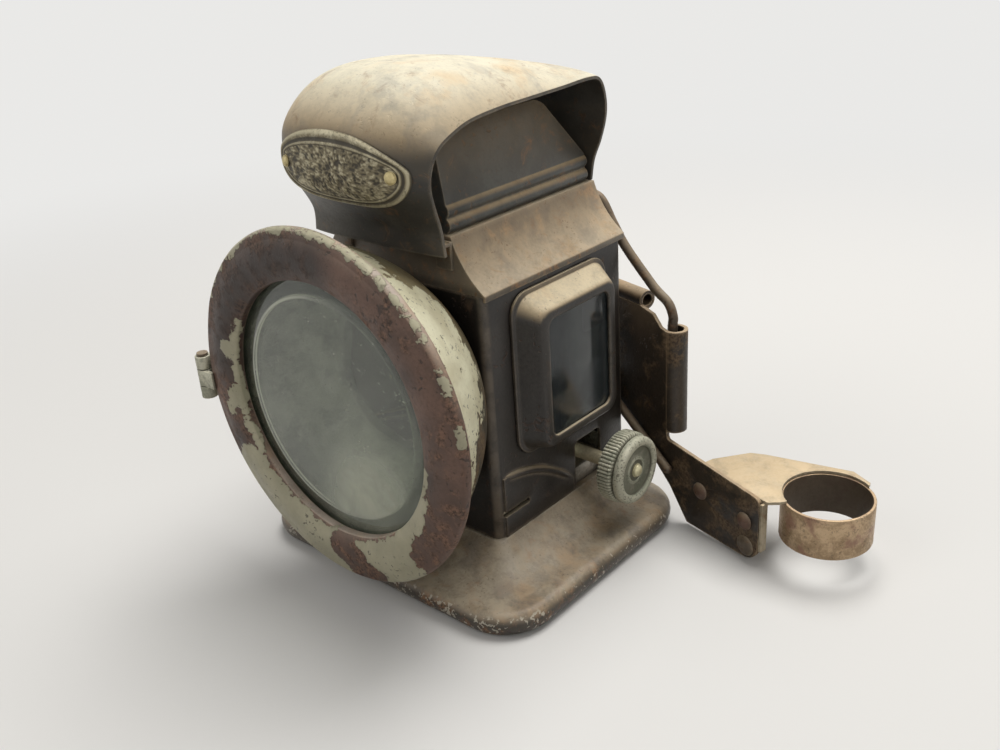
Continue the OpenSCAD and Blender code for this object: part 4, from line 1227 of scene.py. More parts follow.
# The frames' pale dust on their upper faces is also painted top light
FRAME = replace(JAPAN, name="frame_dusty", dust_and_light=(0.82, 0.70, 0.48), dust_and_light_cover=0.96, wear=0.9, corners=0.0)
TAN = AgedCoat(
    "roof_tan", coat=(0.20, 0.17, 0.13), deep=(0.11, 0.095, 0.075), rust=(0.42, 0.22, 0.10),
    rust_deep=(0.17, 0.095, 0.05), worn=(0.46, 0.38, 0.27), dust_and_light=(0.66, 0.55, 0.39), rust_cover=0.3,
    dust_and_light_cover=0.92, dust_and_light_from=-0.1, rough=0.42, blotch=15.0, grime_and_shade=0.55, ashen=0.35, stained=0.75)
WIRE = AgedCoat(
    "wire_rust", coat=(0.17, 0.13, 0.09), deep=(0.07, 0.052, 0.036), rust=(0.22, 0.12, 0.06),
    rust_deep=RUST_DARK, worn=(0.38, 0.31, 0.22), dust_and_light=(0.46, 0.38, 0.27), rust_cover=0.45, dust_and_light_cover=0.6,
    rough=0.45, blotch=10.0)
BRASS = OldMetal(
    "burner_brass", bright=(0.55, 0.42, 0.19), tarnish=(0.27, 0.21, 0.10), dirt_and_shade=(0.05, 0.04, 0.025),
    stain=(0.20, 0.22, 0.15), metal=0.85, rough=0.38)
COPPER = OldMetal(
    "clip_tan", bright=(0.52, 0.44, 0.31), tarnish=(0.31, 0.255, 0.175), dirt_and_shade=(0.07, 0.05, 0.03),
    stain=(0.26, 0.17, 0.10), metal=0.2, rough=0.5, dust_and_light=(0.68, 0.53, 0.33), dust_and_light_cover=0.88, grime_and_shade=0.5)
HINGE = OldMetal(
    "hinge_pale", bright=(0.74, 0.72, 0.57), tarnish=(0.37, 0.37, 0.28), dirt_and_shade=(0.07, 0.065, 0.045),
    stain=(0.25, 0.24, 0.16), metal=0.15, rough=0.5, wear=1.0)
BELL_INSIDE = OldMetal(
    "bell_inside_dull", bright=(0.23, 0.24, 0.20), tarnish=(0.115, 0.122, 0.102), dirt_and_shade=(0.05, 0.05, 0.043),
    stain=(0.13, 0.125, 0.095), metal=0.3, rough=0.5)

Finish = Union[AgedCoat, OldMetal, OldGlass, WickCotton]
FINISHES: dict[Slot, Finish] = {
    Slot.JAPAN: JAPAN,
    # The hood's near-white dust on its top is also painted top light
    Slot.HOOD: AgedCoat(
        "hood_tan", coat=(0.108, 0.101, 0.088), deep=(0.050, 0.047, 0.041), rust=(0.30, 0.165, 0.08),
        rust_deep=(0.10, 0.064, 0.04), worn=(0.44, 0.37, 0.27), dust_and_light=(0.88, 0.82, 0.64), rust_cover=0.08,
        dust_and_light_cover=0.96, dust_and_light_from=-0.08, rough=0.46, grime_and_shade=0.5, wear=0.5, evenness=0.80, blotch=22.0,
        specked=0.3, slope_warm=0.9, relief=0.05, ashen=0.36, stained=0.7),
    Slot.ROOF: TAN,
    Slot.BELL: FlakedCoat(
        "bell_cream", coat=(0.13, 0.108, 0.064), deep=(0.05, 0.042, 0.028), rust=(0.17, 0.115, 0.055),
        rust_deep=RUST_DARK, worn=(0.34, 0.30, 0.20), dust_and_light=(0.42, 0.37, 0.22), rust_cover=0.4,
        dust_and_light_cover=0.55, paint=(0.84, 0.81, 0.59), paint_deep=(0.60, 0.55, 0.37), rough=0.4,
        kept=bell_patches(BELL_KEPT), ragged=8.0, fray=4.5),
    # The bezel's pale dust on its top roll is also a painted highlight
    Slot.BEZEL: FlakedCoat(
        "bezel_rust", coat=(0.20, 0.118, 0.087), deep=(0.10, 0.062, 0.047), rust=(0.29, 0.165, 0.11),
        rust_deep=(0.033, 0.023, 0.019), worn=(0.56, 0.44, 0.34), dust_and_light=(0.80, 0.70, 0.60), rust_cover=0.45,
        dust_and_light_cover=0.74, paint=(0.60, 0.56, 0.40), paint_deep=(0.46, 0.43, 0.30), rough=0.46, wear=0.8,
        kept=bezel_patches(BEZEL_KEPT_AND_HIGHLIGHT), lost=bezel_patches(BEZEL_LOST), darkened=bezel_patches(BEZEL_DARKENED),
        blotch=16.0, ragged=2.8, fray=1.6, relief=0.16),
    Slot.FONT: AgedCoat(
        "font_tan", coat=(0.16, 0.13, 0.098), deep=(0.06, 0.05, 0.038), rust=(0.34, 0.18, 0.09),
        rust_deep=RUST_DARK, worn=(0.62, 0.57, 0.46), dust_and_light=(0.46, 0.39, 0.285), rust_cover=0.3,
        dust_and_light_cover=0.85, rough=0.36, shine=0.5, blotch=18.0, chips=0.15, evenness=0.55, ashen=0.5,
        stained=0.6),
    Slot.BADGE: OldMetal(
        "badge_pewter", bright=(0.66, 0.60, 0.42), tarnish=(0.235, 0.20, 0.125), dirt_and_shade=(0.040, 0.033, 0.022),
        stain=(0.15, 0.12, 0.07), metal=0.4, rough=0.42, raised=RELIEF, wear=0.5, tarnish_cover=0.85,
        pitted=0.4),
    Slot.BRASS: BRASS,
    Slot.VERDIGRIS: OldMetal(
        "knob_verdigris", bright=(0.62, 0.60, 0.47), tarnish=(0.40, 0.40, 0.305), dirt_and_shade=(0.085, 0.08, 0.055),
        stain=(0.27, 0.29, 0.21), metal=0.12, rough=0.5, tarnish_cover=0.7, stain_cover=0.55,
        raised=RELIEF, pitted=0.65),
    Slot.COPPER: COPPER,
    Slot.WIRE: WIRE,
    Slot.BRACKET: AgedCoat(
        "bracket_brown", coat=(0.052, 0.038, 0.026), deep=(0.018, 0.014, 0.011), rust=(0.20, 0.135, 0.076),
        rust_deep=(0.05, 0.03, 0.018), worn=(0.60, 0.45, 0.29), dust_and_light=(0.54, 0.41, 0.26), rust_cover=0.5,
        dust_and_light_cover=0.9, rough=0.42, blotch=22.0, wear=0.95),
    Slot.STEEL: OldMetal(
        "dull_steel", bright=(0.52, 0.49, 0.43), tarnish=(0.27, 0.25, 0.21), dirt_and_shade=(0.06, 0.05, 0.04),
        stain=RUST_BROWN, metal=0.7),
    # Its settled patches put a film and painted light on the lower part of the glass
    Slot.CLEAR_GLASS: OldGlass(
        "front_glass_haze", tint=(0.74, 0.78, 0.69), film=(0.80, 0.80, 0.66), clear=0.95, rough=0.05,
        haze=0.72, streak=0.14, ground_r=28.5,
        settled_and_lit=(Patch((11.0, -54.6, 33.0), 16.0), Patch((2.0, -54.6, 28.0), 10.0))),
    Slot.TINTED_GLASS: OldGlass(
        "side_glass_slate", tint=(0.15, 0.176, 0.186), film=(0.034, 0.043, 0.047), clear=0.88, rough=0.16,
        haze=0.4, shine=0.15, streak=0.8),
    Slot.COTTON: WickCotton(
        "wick_weave", thread=(0.62, 0.56, 0.42), shade=(0.34, 0.29, 0.2), char=(0.03, 0.026, 0.022),
        char_from=41.0),
    Slot.TIN: OldMetal(
        "reflector_tin", bright=(0.52, 0.53, 0.47), tarnish=(0.36, 0.37, 0.315), dirt_and_shade=(0.10, 0.095, 0.08),
        stain=(0.27, 0.25, 0.19), metal=0.4, rough=0.45),
}
# Pieces whose finish differs from the rest of their slot
SPECIAL: dict[str, Finish] = {
    "window_frame_right": FRAME,
    "window_frame_left": FRAME,
    "chimney": replace(
        TAN, name="chimney_grey", coat=(0.122, 0.124, 0.114), deep=(0.068, 0.070, 0.065), rust_cover=0.05,
        dust_and_light=(0.56, 0.43, 0.26), dust_and_light_from=0.05, slope_warm=0.3, ashen=0.0),
    # The ring's raised values paint a highlight on its upper edge and shade inside
    "clip_ring": replace(
        COPPER, name="ring_copper", bright=(0.58, 0.42, 0.26), tarnish=(0.36, 0.25, 0.145),
        dirt_and_shade=(0.048, 0.034, 0.022), stain=(0.38, 0.20, 0.13), stain_cover=0.45, dust_and_light_cover=0.3, metal=0.5,
        rough=0.4, grime_and_shade=0.9, raised=RELIEF, pitted=0.35),
    # The far pane is much darker than the near one
    "side_glass_left": OldGlass(
        "side_glass_sooted", tint=(0.05, 0.06, 0.064), film=(0.045, 0.055, 0.058), clear=0.8, rough=0.2,
        haze=0.4, shine=0.22, streak=0.8),
    # The tab's pale rubbed edges are also a painted highlight
    "glass_tabs": replace(
        JAPAN, name="tab_rubbed", coat=(0.05, 0.05, 0.046), worn=(0.80, 0.77, 0.66), wear=1.0,
        edge_reach=0.6),
    "winder_spindle": replace(
        BRASS, name="spindle_pale", bright=(0.60, 0.53, 0.36), tarnish=(0.40, 0.35, 0.23), metal=0.2),
    "badge_rivets": replace(
        BRASS, name="badge_rivet_dull", bright=(0.74, 0.62, 0.32), tarnish=(0.52, 0.43, 0.22), metal=0.4),
    "knob_stud": replace(
        BRASS, name="stud_pale", bright=(0.72, 0.66, 0.42), tarnish=(0.50, 0.46, 0.29), metal=0.3),
    "hinge_leaf": HINGE,
    "bezel_knuckle": HINGE,
    "clip_rivets": replace(WIRE, name="rivet_rust", coat=(0.15, 0.082, 0.055), rust=(0.20, 0.10, 0.06)),
    "catch_spring": replace(
        BRASS, name="catch_bright", bright=(0.85, 0.78, 0.60), tarnish=(0.62, 0.54, 0.38), metal=0.2,
        grime_and_shade=0.0),
}


# Sub-assemblies


@dataclass
class Bench:
    """What every sub-assembly works with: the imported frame, the finishes and the pieces made."""

    frame: dict
    materials: dict[Slot, bpy.types.Material] = field(init=False)
    special: dict[str, bpy.types.Material] = field(init=False)
    inside: bpy.types.Material = field(init=False)
    slots: dict[str, Slot] = field(init=False)
    replaced: set[str] = field(default_factory=set)

    def __post_init__(self) -> None:
        """Makes every finish once, and reads each node's slot from the record."""
        self.materials = {slot: finish.make() for slot, finish in FINISHES.items()}
        made = {finish: finish.make() for finish in (*SPECIAL.values(), BELL_INSIDE)}
        self.special = {node: made[finish] for node, finish in SPECIAL.items()}
        self.inside = made[BELL_INSIDE]
        self.slots = {row["node"]: Slot(row["material_slot"]) for row in self.frame["record"]["subparts"]}

    def fit(self, obj: bpy.types.Object, *nodes: str, lined: bool = False) -> bpy.types.Object:
        """Dresses a piece, lets it ride on its body and stands it in for its nodes.

        Args:
            obj: The piece.
            nodes: Frame nodes that it stands for, all on one body.
            lined: True if it has the bell's inside finish as a second material.

        Returns:
            The same piece.
        """
        slot = self.slots[nodes[0]]
        obj.data.materials.append(self.special.get(nodes[0], self.materials[slot]))
        if lined:
            obj.data.materials.append(self.inside)
        body = self.frame["nodes"][nodes[0]]["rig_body"]
        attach(obj, body)
        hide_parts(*nodes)
        self.replaced.update(nodes)
        LOG.info("%s rides on %s in %s", obj.name, body, slot.value)
        return obj

    def keep(self, node: str, round_off: float) -> bpy.types.Object:
        """Stands a rounded copy in for a node whose shape is right.

        Args:
            node: The frame's node.
            round_off: Width of the rounding on its edges in millimetres.

        Returns:
            The copy.
        """
        return self.fit(Form.refined(node + "_finished", self.frame["nodes"][node], round_off), node)


@dataclass
class Hood:
    """The bowed hood with its badge."""

    bench: Bench
    ridge_z: float = 94.0
    ridge_half: float = 19.3
    half_width: float = 24.3
    top_z: float = 121.0
    hem_y: float = -32.5
    half_depth: float = 28.0
    crown_bow: float = 10.4
    bow_power: float = 3.6
    sheet: float = 0.8
    row_steps: int = 7
    cross_steps: int = 56
    row_length: float = 7.0
    dent_size: float = 9.0
    dent_depth: float = 0.16
    badge_row: float = 3.55
    badge_half: Flat = (21.75, 8.6)
    badge_power: float = 0.86
    badge_lift: float = 0.3
    badge_undercut: float = 0.3
    badge_steps: int = 360
    # Inset, height and how raised each ring of the badge's rim looks
    badge_rim: tuple[Point, ...] = (
        (0.0, 0.30, 0.0), (0.0, 0.72, 0.2), (0.2, 0.88, 0.9), (0.55, 0.93, 0.9), (0.95, 0.88, 0.6),
        (1.3, 0.56, 0.05), (1.8, 0.54, 0.1), (2.0, 0.72, 0.8), (2.3, 0.72, 0.8), (2.5, 0.55, 0.1))
    field_rings: int = 34
    field_inset: float = 2.6
    field_lift: float = 0.54
    field_look: float = 0.47
    stipple_lift: float = 0.20
    stipple_look: float = 1.35
    rivet_x: float = 17.55
    rivet_r: float = 1.5
    rivet_lift: float = 0.58
    rivet_foot: float = 0.2
    rivet_sides: int = 32

    def rows(self) -> list[tuple[float, float, float, float]]:
        """Rows of the hood from its hem over the top to the back of the ridge.

        Returns:
            Each row's distance along Y, height, half width and bow.
        """
        hem, ridge, top, half, deep, bow = (
            self.hem_y, self.ridge_z, self.top_z, self.half_width, self.half_depth, self.crown_bow)
        return [
            (hem, ridge - 3, half - 2, 1),
            (hem - 0.3, ridge + 3, half - 2.4, 1.4),
            (hem - 2.9, ridge + 9.2, half - 1.3, 3),
            (hem - 4.9, ridge + 14, half - 0.1, bow * 0.48),
            (hem - 4.6, top - 8.8, half + 0.4, bow * 0.63),
            (hem - 3, top - 4.9, half + 1.3, bow * 0.77),
            (hem + 1, top - 2.5, half + 1.7, bow * 0.96),
            (hem + 7.2, top - 0.7, half + 1.7, bow),
            (-deep * 0.53, top + 0.1, half + 1.4, bow * 0.9),
            (-deep * 0.14, top + 0.2, half + 0.9, bow * 0.76),
            (deep * 0.3, top + 0.3, half + 0.4, bow * 0.54),
            (deep * 0.73, top + 0.5, half, bow * 0.25),
            (deep - 3, top - 0.6, half - 0.2, 1.4),
            (deep - 0.9, top - 5, half - 0.3, 1.1),
            (deep - 0.6, top - 10, half - 0.6, 0.9),
            (deep - 0.5, ridge + 11, self.ridge_half + 2.6, 0.7),
            (deep - 0.5, ridge + 5.5, self.ridge_half + 0.3, 0.5),
            (deep - 0.5, ridge + 0.05, self.ridge_half - 0.7, 0.3),
        ]

    def normal(self, place: float) -> Flat:
        """Outward direction of the hood's middle line.

        Args:
            place: Place in rows along the strip.

        Returns:
            The direction's parts along Y and Z.
        """
        rows, step = self.rows(), 0.05
        a = spline(rows, max(place - step, 0))
        b = spline(rows, min(place + step, len(rows) - 1))
        run, rise = b[0] - a[0], b[1] - a[1]
        length = math.hypot(run, rise)
        return -rise / length, run / length

    def point(self, place: float, x: float, height: float) -> Vector:
        """Point on the hood.

        Args:
            place: Place in rows along the strip.
            x: Distance from the middle.
            height: Height above the inner skin.

        Returns:
            The point.
        """
        y, z, half, bow = spline(self.rows(), place)
        ny, nz = self.normal(place)
        rise = bow * (1 - abs(x / half) ** self.bow_power) + height
        return Vector((x, y + ny * rise, z + nz * rise))

    def dent(self, place: float, x: float, half: float) -> float:
        """Height of the hood's soft dents, which fade out at its sides.

        Args:
            place: Place in rows along the strip.
            x: Distance from the middle.
            half: Half width of the strip there.

        Returns:
            The height, below 0 in a hollow.
        """
        spot = Vector((x * 0.8, place * self.row_length, 3))
        return ripple(spot, self.dent_size, self.dent_depth) * (1 - (x / half) ** 6)

    def build_sheet(self) -> None:
        """Builds the hood as one pressed sheet with softly dented faces."""
        last = len(self.rows()) - 1
        lengthwise, crosswise = last * self.row_steps, self.cross_steps
        rings = []
        for i in range(lengthwise + 1):
            place = last * i / lengthwise
            half = spline(self.rows(), place)[2]
            xs = [half * math.sin(math.pi * (j / crosswise - 0.5)) for j in range(crosswise + 1)]
            dents = [self.dent(place, x, half) for x in xs]
            inner = [self.point(place, x, d) for x, d in zip(xs, dents)]
            outer = [self.point(place, x, self.sheet + d) for x, d in zip(xs, dents)]
            rings.append(inner + outer[::-1])
        points, faces = Form.skin(rings, turn=False, close=True, caps=True)
        sheet = Form.piece("hood_sheet", points, faces, sharp=45)
        self.bench.fit(Form.soften(sheet, round_off=0.22, sharp=45), "hood")

    def badge_point(self, size: float, angle: float, height: float, inset: float) -> Vector:
        """Point on the badge.

        Args:
            size: Share of the badge's size.
            angle: Angle about its middle in radians.
            height: Height above the hood.
            inset: How far the point is taken in.

        Returns:
            The point.
        """
        turn = math.cos(angle), math.sin(angle)
        oval = [math.copysign(abs(v) ** self.badge_power, v) for v in turn]
        x = oval[0] * (size * self.badge_half[0] - inset)
        run = oval[1] * (size * self.badge_half[1] - inset)
        low = self.point(self.badge_row - 1, 0, self.sheet)
        high = self.point(self.badge_row + 1, 0, self.sheet)
        return self.point(self.badge_row + run / ((high - low).length / 2), x, self.sheet + height)

    @staticmethod
    def stipple(point: Vector) -> float:
        """Height of the badge's fine stipple at a point, around 0."""
        return noise.noise(point / 0.6) * 0.7 + noise.noise(point / 1.7) * 0.5

    def build_badge(self) -> None:
        """Builds the plain oval badge: a raised rim and line round a stippled field."""
        turns = [-2 * math.pi * i / self.badge_steps for i in range(self.badge_steps)]
        rings = [[self.badge_point(1.0, a, self.badge_lift, self.badge_undercut) for a in turns]]
        relief = [0.0] * len(turns)
        for inset, height, look in self.badge_rim:
            rings.append([self.badge_point(1.0, a, height, inset) for a in turns])
            relief += [look] * len(turns)
        for i in range(1, self.field_rings):
            share = 1 - i / self.field_rings
            inset = self.field_inset * share
            flat = [self.badge_point(share, a, self.field_lift, inset) for a in turns]
            marks = [self.stipple(point) for point in flat]
            heights = [self.field_lift + self.stipple_lift * mark for mark in marks]
            rings.append([self.badge_point(share, a, height, inset) for a, height in zip(turns, heights)])
            relief += [self.field_look + self.stipple_look * mark for mark in marks]
        points, faces = Form.skin(rings, turn=False, close=True, caps=True)
        badge = Form.piece("badge_plain", points, faces, sharp=60)
        self.bench.fit(Form.mark(badge, RELIEF, relief), "badge_plate")

    def build_rivets(self) -> None:
        """Builds the badge's two domed rivets, each with a small flat foot."""
        points: Ring = []
        faces: list[Face] = []
        ny, nz = self.normal(self.badge_row)
        half, bow = spline(self.rows(), self.badge_row)[2:]
        slope = self.bow_power * bow * (self.rivet_x / half) ** (self.bow_power - 1) / half
        profile = [(self.rivet_r, 0.0), (self.rivet_r, self.rivet_foot)]
        profile += dome(self.rivet_r * 0.92, self.rivet_foot + 0.05, 0.75, 8)[:-1]
        turns = [2 * math.pi * j / self.rivet_sides for j in range(self.rivet_sides)]
        for side in Side:
            seat = self.point(self.badge_row, side.value * self.rivet_x, self.sheet + self.rivet_lift)
            out = Vector((side.value * slope, ny, nz)).normalized()
            along = Vector((1, 0, 0)).cross(out).normalized()
            across = out.cross(along)
            rings = [[seat + out * h + (along * math.cos(t) + across * math.sin(t)) * r for t in turns]
                     for r, h in profile]
            ring_points, ring_faces = Form.skin(rings, turn=False, close=True, caps=True)
            faces += [[n + len(points) for n in f] for f in ring_faces]
            points += ring_points
        rivets = Form.piece("badge_rivet_heads", points, faces, sharp=45)
        self.bench.fit(rivets, "badge_rivets")

    def build(self) -> None:
        """Builds the hood, its badge and its ears."""
        self.build_sheet()
        self.build_badge()
        self.build_rivets()
        self.bench.keep("hood_ears", round_off=0.2)


@dataclass
class LensEnd:
    """The bell, the hinged bezel with its glass, and the reflector behind."""

    bench: Bench
    lens_z: float = LENS_Z
    sheet: float = 0.8
    throat: Flat = THROAT
    mouth: Flat = MOUTH
    bell_bow: float = 2.2
    bell_steps: int = 36
    bell_turns: int = 224
    neck_r: float = 24.15
    neck_s: float = 26.4
    lip: Flat = (42.2, 52.1)
    lip_r: float = 0.9
    bead: Flat = (43.9, 54.9)
    bead_r: float = 1.7
    crown: Flat = (38.45, 44.4)
    crown_r: float = 13.0
    face_sheet: float = 0.9
    bezel_turns: int = 256
    opening_r: float = 33.0
    opening_s: float = 55.9
    opening_soft: float = 0.4
    lip_back: float = 0.4
    cup_r: float = 40.6
    cup_s: Flat = (52.0, 56.2)
    glass_r: float = 39.5
    glass_s: Flat = (52.4, 54.6)
    glass_soft: float = 0.2
    bevel: Flat = (34.1, 28.5)
    bevel_depth: float = 1.3
    bevel_soft: float = 0.12
    ring_r: float = 38.7
    ring_back: float = 0.9
    ring_wire: float = 0.78
    dish_r: float = 21.0
    dish_hole: float = 1.5
    dish_ball: float = 36.0
    dish_y: float = 26.0
    dish_drop: float = 2.0
    dish_steps: int = 18

    def about_lens(self, r: float, s: float, a: float) -> Vector:
        """Point at a radius, a distance forward and an angle about the lens."""
        return Vector((r * math.cos(a), -s, self.lens_z + r * math.sin(a)))

    def flare(self) -> tuple[Flat, float]:
        """Circle that the bell's bowed flare follows.

        Returns:
            Its centre, as a radius and a distance forward, and its own radius.
        """
        rise, depth = self.mouth[0] - self.throat[0], self.mouth[1] - self.throat[1]
        chord = math.hypot(rise, depth)
        radius = (chord**2 / 4 + self.bell_bow**2) / (2 * self.bell_bow)
        back = (radius - self.bell_bow) / chord
        return (self.throat[0] + rise / 2 - depth * back, self.throat[1] + depth / 2 + rise * back), radius

    def build_bell(self) -> None:
        """Builds the flared bell with its rolled lip, painted outside and of dull metal inside."""
        middle, radius = self.flare()
        low = math.degrees(math.asin((self.throat[1] - middle[1]) / radius))
        high = math.degrees(math.asin((self.mouth[1] - self.lip_r - middle[1]) / radius))
        outer = arc(middle, radius, low, high, self.bell_steps)
        lip = arc(self.lip, self.lip_r, -100, 165, 14)
        inner = arc(middle, radius - self.sheet, high + 0.4, low, self.bell_steps)
        neck, wall, start = self.neck_r, self.neck_r + self.sheet, self.throat[1]
        foot = [(neck, start + 0.5), (neck, self.neck_s), (wall, self.neck_s), (wall, start)]
        profile = outer + lip + inner + foot
        bell = Form.lathe("bell_flare", profile, self.about_lens, segments=self.bell_turns)
        Form.batter(bell, size=14.0, depth=0.12)
        for polygon in bell.data.polygons:
            centre = polygon.center / MM
            out = math.hypot(centre.x, centre.z - self.lens_z) - middle[0]
            deep = math.hypot(out, -centre.y - middle[1])
            polygon.material_index = int(deep < radius - self.sheet / 2 and -centre.y < self.lip[1])
        self.bench.fit(bell, "bell", lined=True)

    def build_bezel(self) -> None:
        """Builds the bezel: a crowned face with a rolled outer bead, an inner lip and a cup."""
        half = (self.bead[0] - self.opening_r) / 2
        back_r = self.crown_r - self.face_sheet
        lean = math.degrees(math.asin(half / self.crown_r))
        back_lean = math.degrees(math.asin((half - self.face_sheet) / back_r))
        opening, soft = self.opening_r, self.opening_soft
        lip_s = self.glass_s[1] - self.lip_back
        cup_in = self.cup_r - self.sheet
        profile = [(self.cup_r, s) for s in self.cup_s]
        profile += arc(self.bead, self.bead_r, 150, 420, 30)
        profile += arc(self.crown, self.crown_r, 90 - lean + 3.2, 90 + lean - 1.2, 28)
        profile += arc((opening + soft, self.opening_s), soft, 105, 180, 5)
        profile += [(opening, lip_s + 0.1), (opening + 0.1, lip_s), (opening + self.face_sheet, lip_s)]
        profile += arc(self.crown, back_r, 90 + back_lean, 90 + 4, 10)
        profile += [(cup_in, self.cup_s[1] + 0.1), (cup_in, self.cup_s[0])]
        bezel = Form.lathe("bezel_rim", profile, self.about_lens, segments=self.bezel_turns)
        Form.batter(bezel, size=8.0, depth=0.07)
        self.bench.fit(bezel, "bezel")

    def build_glass(self) -> None:
        """Builds the front glass with its ground bevel, and the wire ring that holds it in."""
        low, high = self.glass_s
        edge, soft, step = self.glass_r, self.glass_soft, high - self.bevel_depth
        foot, brow = self.bevel
        profile = [(0.0, low), (edge - soft, low), (edge, low + soft)]
        profile += [(edge, step - soft), (edge - soft, step), (foot, step)]
        profile += [(brow + self.bevel_soft, high - 0.03), (brow - self.bevel_soft, high)]
        profile += [(brow / 2, high), (0.0, high)]
        glass = Form.lathe("front_glass_pane", profile, self.about_lens, sharp=25)
        self.bench.fit(glass, "front_glass")
        wire = arc((self.ring_r, low - self.ring_back), self.ring_wire, 0, 345, 23)
        self.bench.fit(Form.lathe("glass_wire", wire, self.about_lens), "glass_ring")

    def build_reflector(self) -> None:
        """Builds the dished reflector with the hole for its stud."""
        def place(r: float, s: float, a: float) -> Vector:
            """Point about the reflector's axis."""
            return Vector((r * math.cos(a), self.dish_y - s, self.lens_z - self.dish_drop + r * math.sin(a)))

        ball, hole, edge = self.dish_ball, self.dish_hole, self.dish_r - 0.1
        radii = [hole + (edge - hole) * i / self.dish_steps for i in range(self.dish_steps + 1)]
        back = [(r, ball - math.sqrt(ball**2 - r**2)) for r in radii]
        front = [(r, ball - math.sqrt((ball - self.sheet) ** 2 - r**2)) for r in reversed(radii)]
        self.bench.fit(Form.lathe("reflector_dish", back + front, place, segments=128), "reflector")

    def build(self) -> None:
        """Builds everything on the lens axis, and the bezel's hinge."""
        self.build_bell()
        self.build_bezel()
        self.build_glass()
        self.build_reflector()
        for node in ("reflector_stud", "hinge_leaf", "hinge_pin", "bezel_knuckle"):
            self.bench.keep(node, round_off=0.12)


@dataclass
class Case:
    """The square case with its roof, chimney and side windows."""

    bench: Bench
    half_width: float = 28.0
    window_half: float = 12.3
    window_z: Flat = (39.2, 71.0)
    frame_z: Flat = (34.0, 78.0)
    frame_out: float = 6.8
    frame_w: float = 7.0
    flat: float = 2.4
    sheet: float = 0.8
    gap: float = 0.05
    skirt_y: Flat = (-25.0, 2.6)
    skirt_z: float = 31.0
    skirt_fall: float = 13.0
    corner_steps: int = 14
    roll_r: float = 1.15
    roll_steps: int = 40
    roll_drop: float = 0.4
    roll_sunk: float = 0.1
    roll_end_sunk: float = 1.1

    def frame_sections(self) -> list[tuple[float, float, float, float, float]]:
        """Sections of a pressed window frame, from its outer edge over its front to its back.

        Returns:
            Each section's distance from the wall, growth past the window's half width, lower edge,
            upper edge and corner radius.
        """
        out, w, g, t = self.frame_out, self.frame_w, self.flat, self.sheet
        (w0, w1), (f0, f1) = self.window_z, self.frame_z
        return [
            (self.gap, w, f0, f1, 6.0), (t, w, f0, f1, 6.0), (t + 0.3, w - 1.1, f0 + 1.1, f1 - 1.1, 5.5),
            (out - 1.2, g + 1.1, w0 - g - 0.6, w1 + g + 0.8, 4.2),
            (out - 0.35, g + 0.5, w0 - g - 0.1, w1 + g + 0.2, 3.8),
            (out, g - 0.3, w0 - g + 0.5, w1 + g - 0.5, 3.4), (out, 0.3, w0 - 0.3, w1 + 0.3, 2.6),
            (out - 0.2, 0.0, w0, w1, 2.4), (out - t, 0.0, w0, w1, 2.4), (out - t, g, w0 - g, w1 + g, 3.0),
            (out - 1.2 - t, g + 0.3, w0 - g, w1 + g, 3.2), (t, w - 2, f0 + 2, f1 - 2, 5.0),
            (self.gap, w - 2, f0 + 2, f1 - 2, 5.0),
        ]

    def build_window(self, side: Side) -> None:
        """Builds the pressed frame of one window.

        Args:
            side: The window's side of the lamp.
        """
        rings = []
        for out, grow, z0, z1, radius in self.frame_sections():
            half = self.window_half + grow
            outline = rounded((-half, z0), (half, z1), radius, self.corner_steps)
            rings.append([Vector((side.value * (self.half_width + out), y, z)) for y, z in outline])
        points, faces = Form.skin(rings, turn=True, close=True)
        name = "window_frame_" + side.name.lower()
        frame = Form.piece(name + "_pressed", points, faces, sharp=30)
        self.bench.fit(Form.soften(frame, round_off=0.25, sharp=30), name)

    def skirt_roll(self, side: Side) -> bpy.types.Object:
        """Builds the soft roll along the top of the skirt, which sinks into the wall at its ends.

        Args:
            side: The skirt's side of the lamp.

        Returns:
            The roll.
        """
        front, back = self.skirt_y
        path = []
        for i in range(self.roll_steps + 1):
            t = i / self.roll_steps
            sunk = self.roll_sunk + self.roll_end_sunk * abs(2 * t - 1) ** 5
            z = self.skirt_z - self.skirt_fall * t**2 - self.roll_drop
            path.append(Vector((side.value * (self.half_width - sunk), front * (1 - t) + back * t, z)))
        return Form.sweep("skirt_roll", path, self.roll_r, sides=24)

    def build_shell(self) -> None:
        """Builds the case's box with its skirt rolls."""
        shell = Form.refined("case_box", self.bench.frame["nodes"]["case_shell"], round_off=0.3)
        self.bench.fit(Form.join(shell, *(self.skirt_roll(side) for side in Side)), "case_shell")

    def build(self) -> None:
        """Builds the case, its roof and its windows."""
        self.build_shell()
        self.bench.keep("roof", round_off=0.3)
        self.bench.keep("chimney", round_off=0.25)
        for side in Side:
            self.build_window(side)
            self.bench.keep("side_glass_" + side.name.lower(), round_off=0.1)
        self.bench.keep("glass_tabs", round_off=0.12)
        self.bench.keep("bail_sleeve", round_off=0.2)
        self.bench.keep("sleeve_rivets", round_off=0.1)


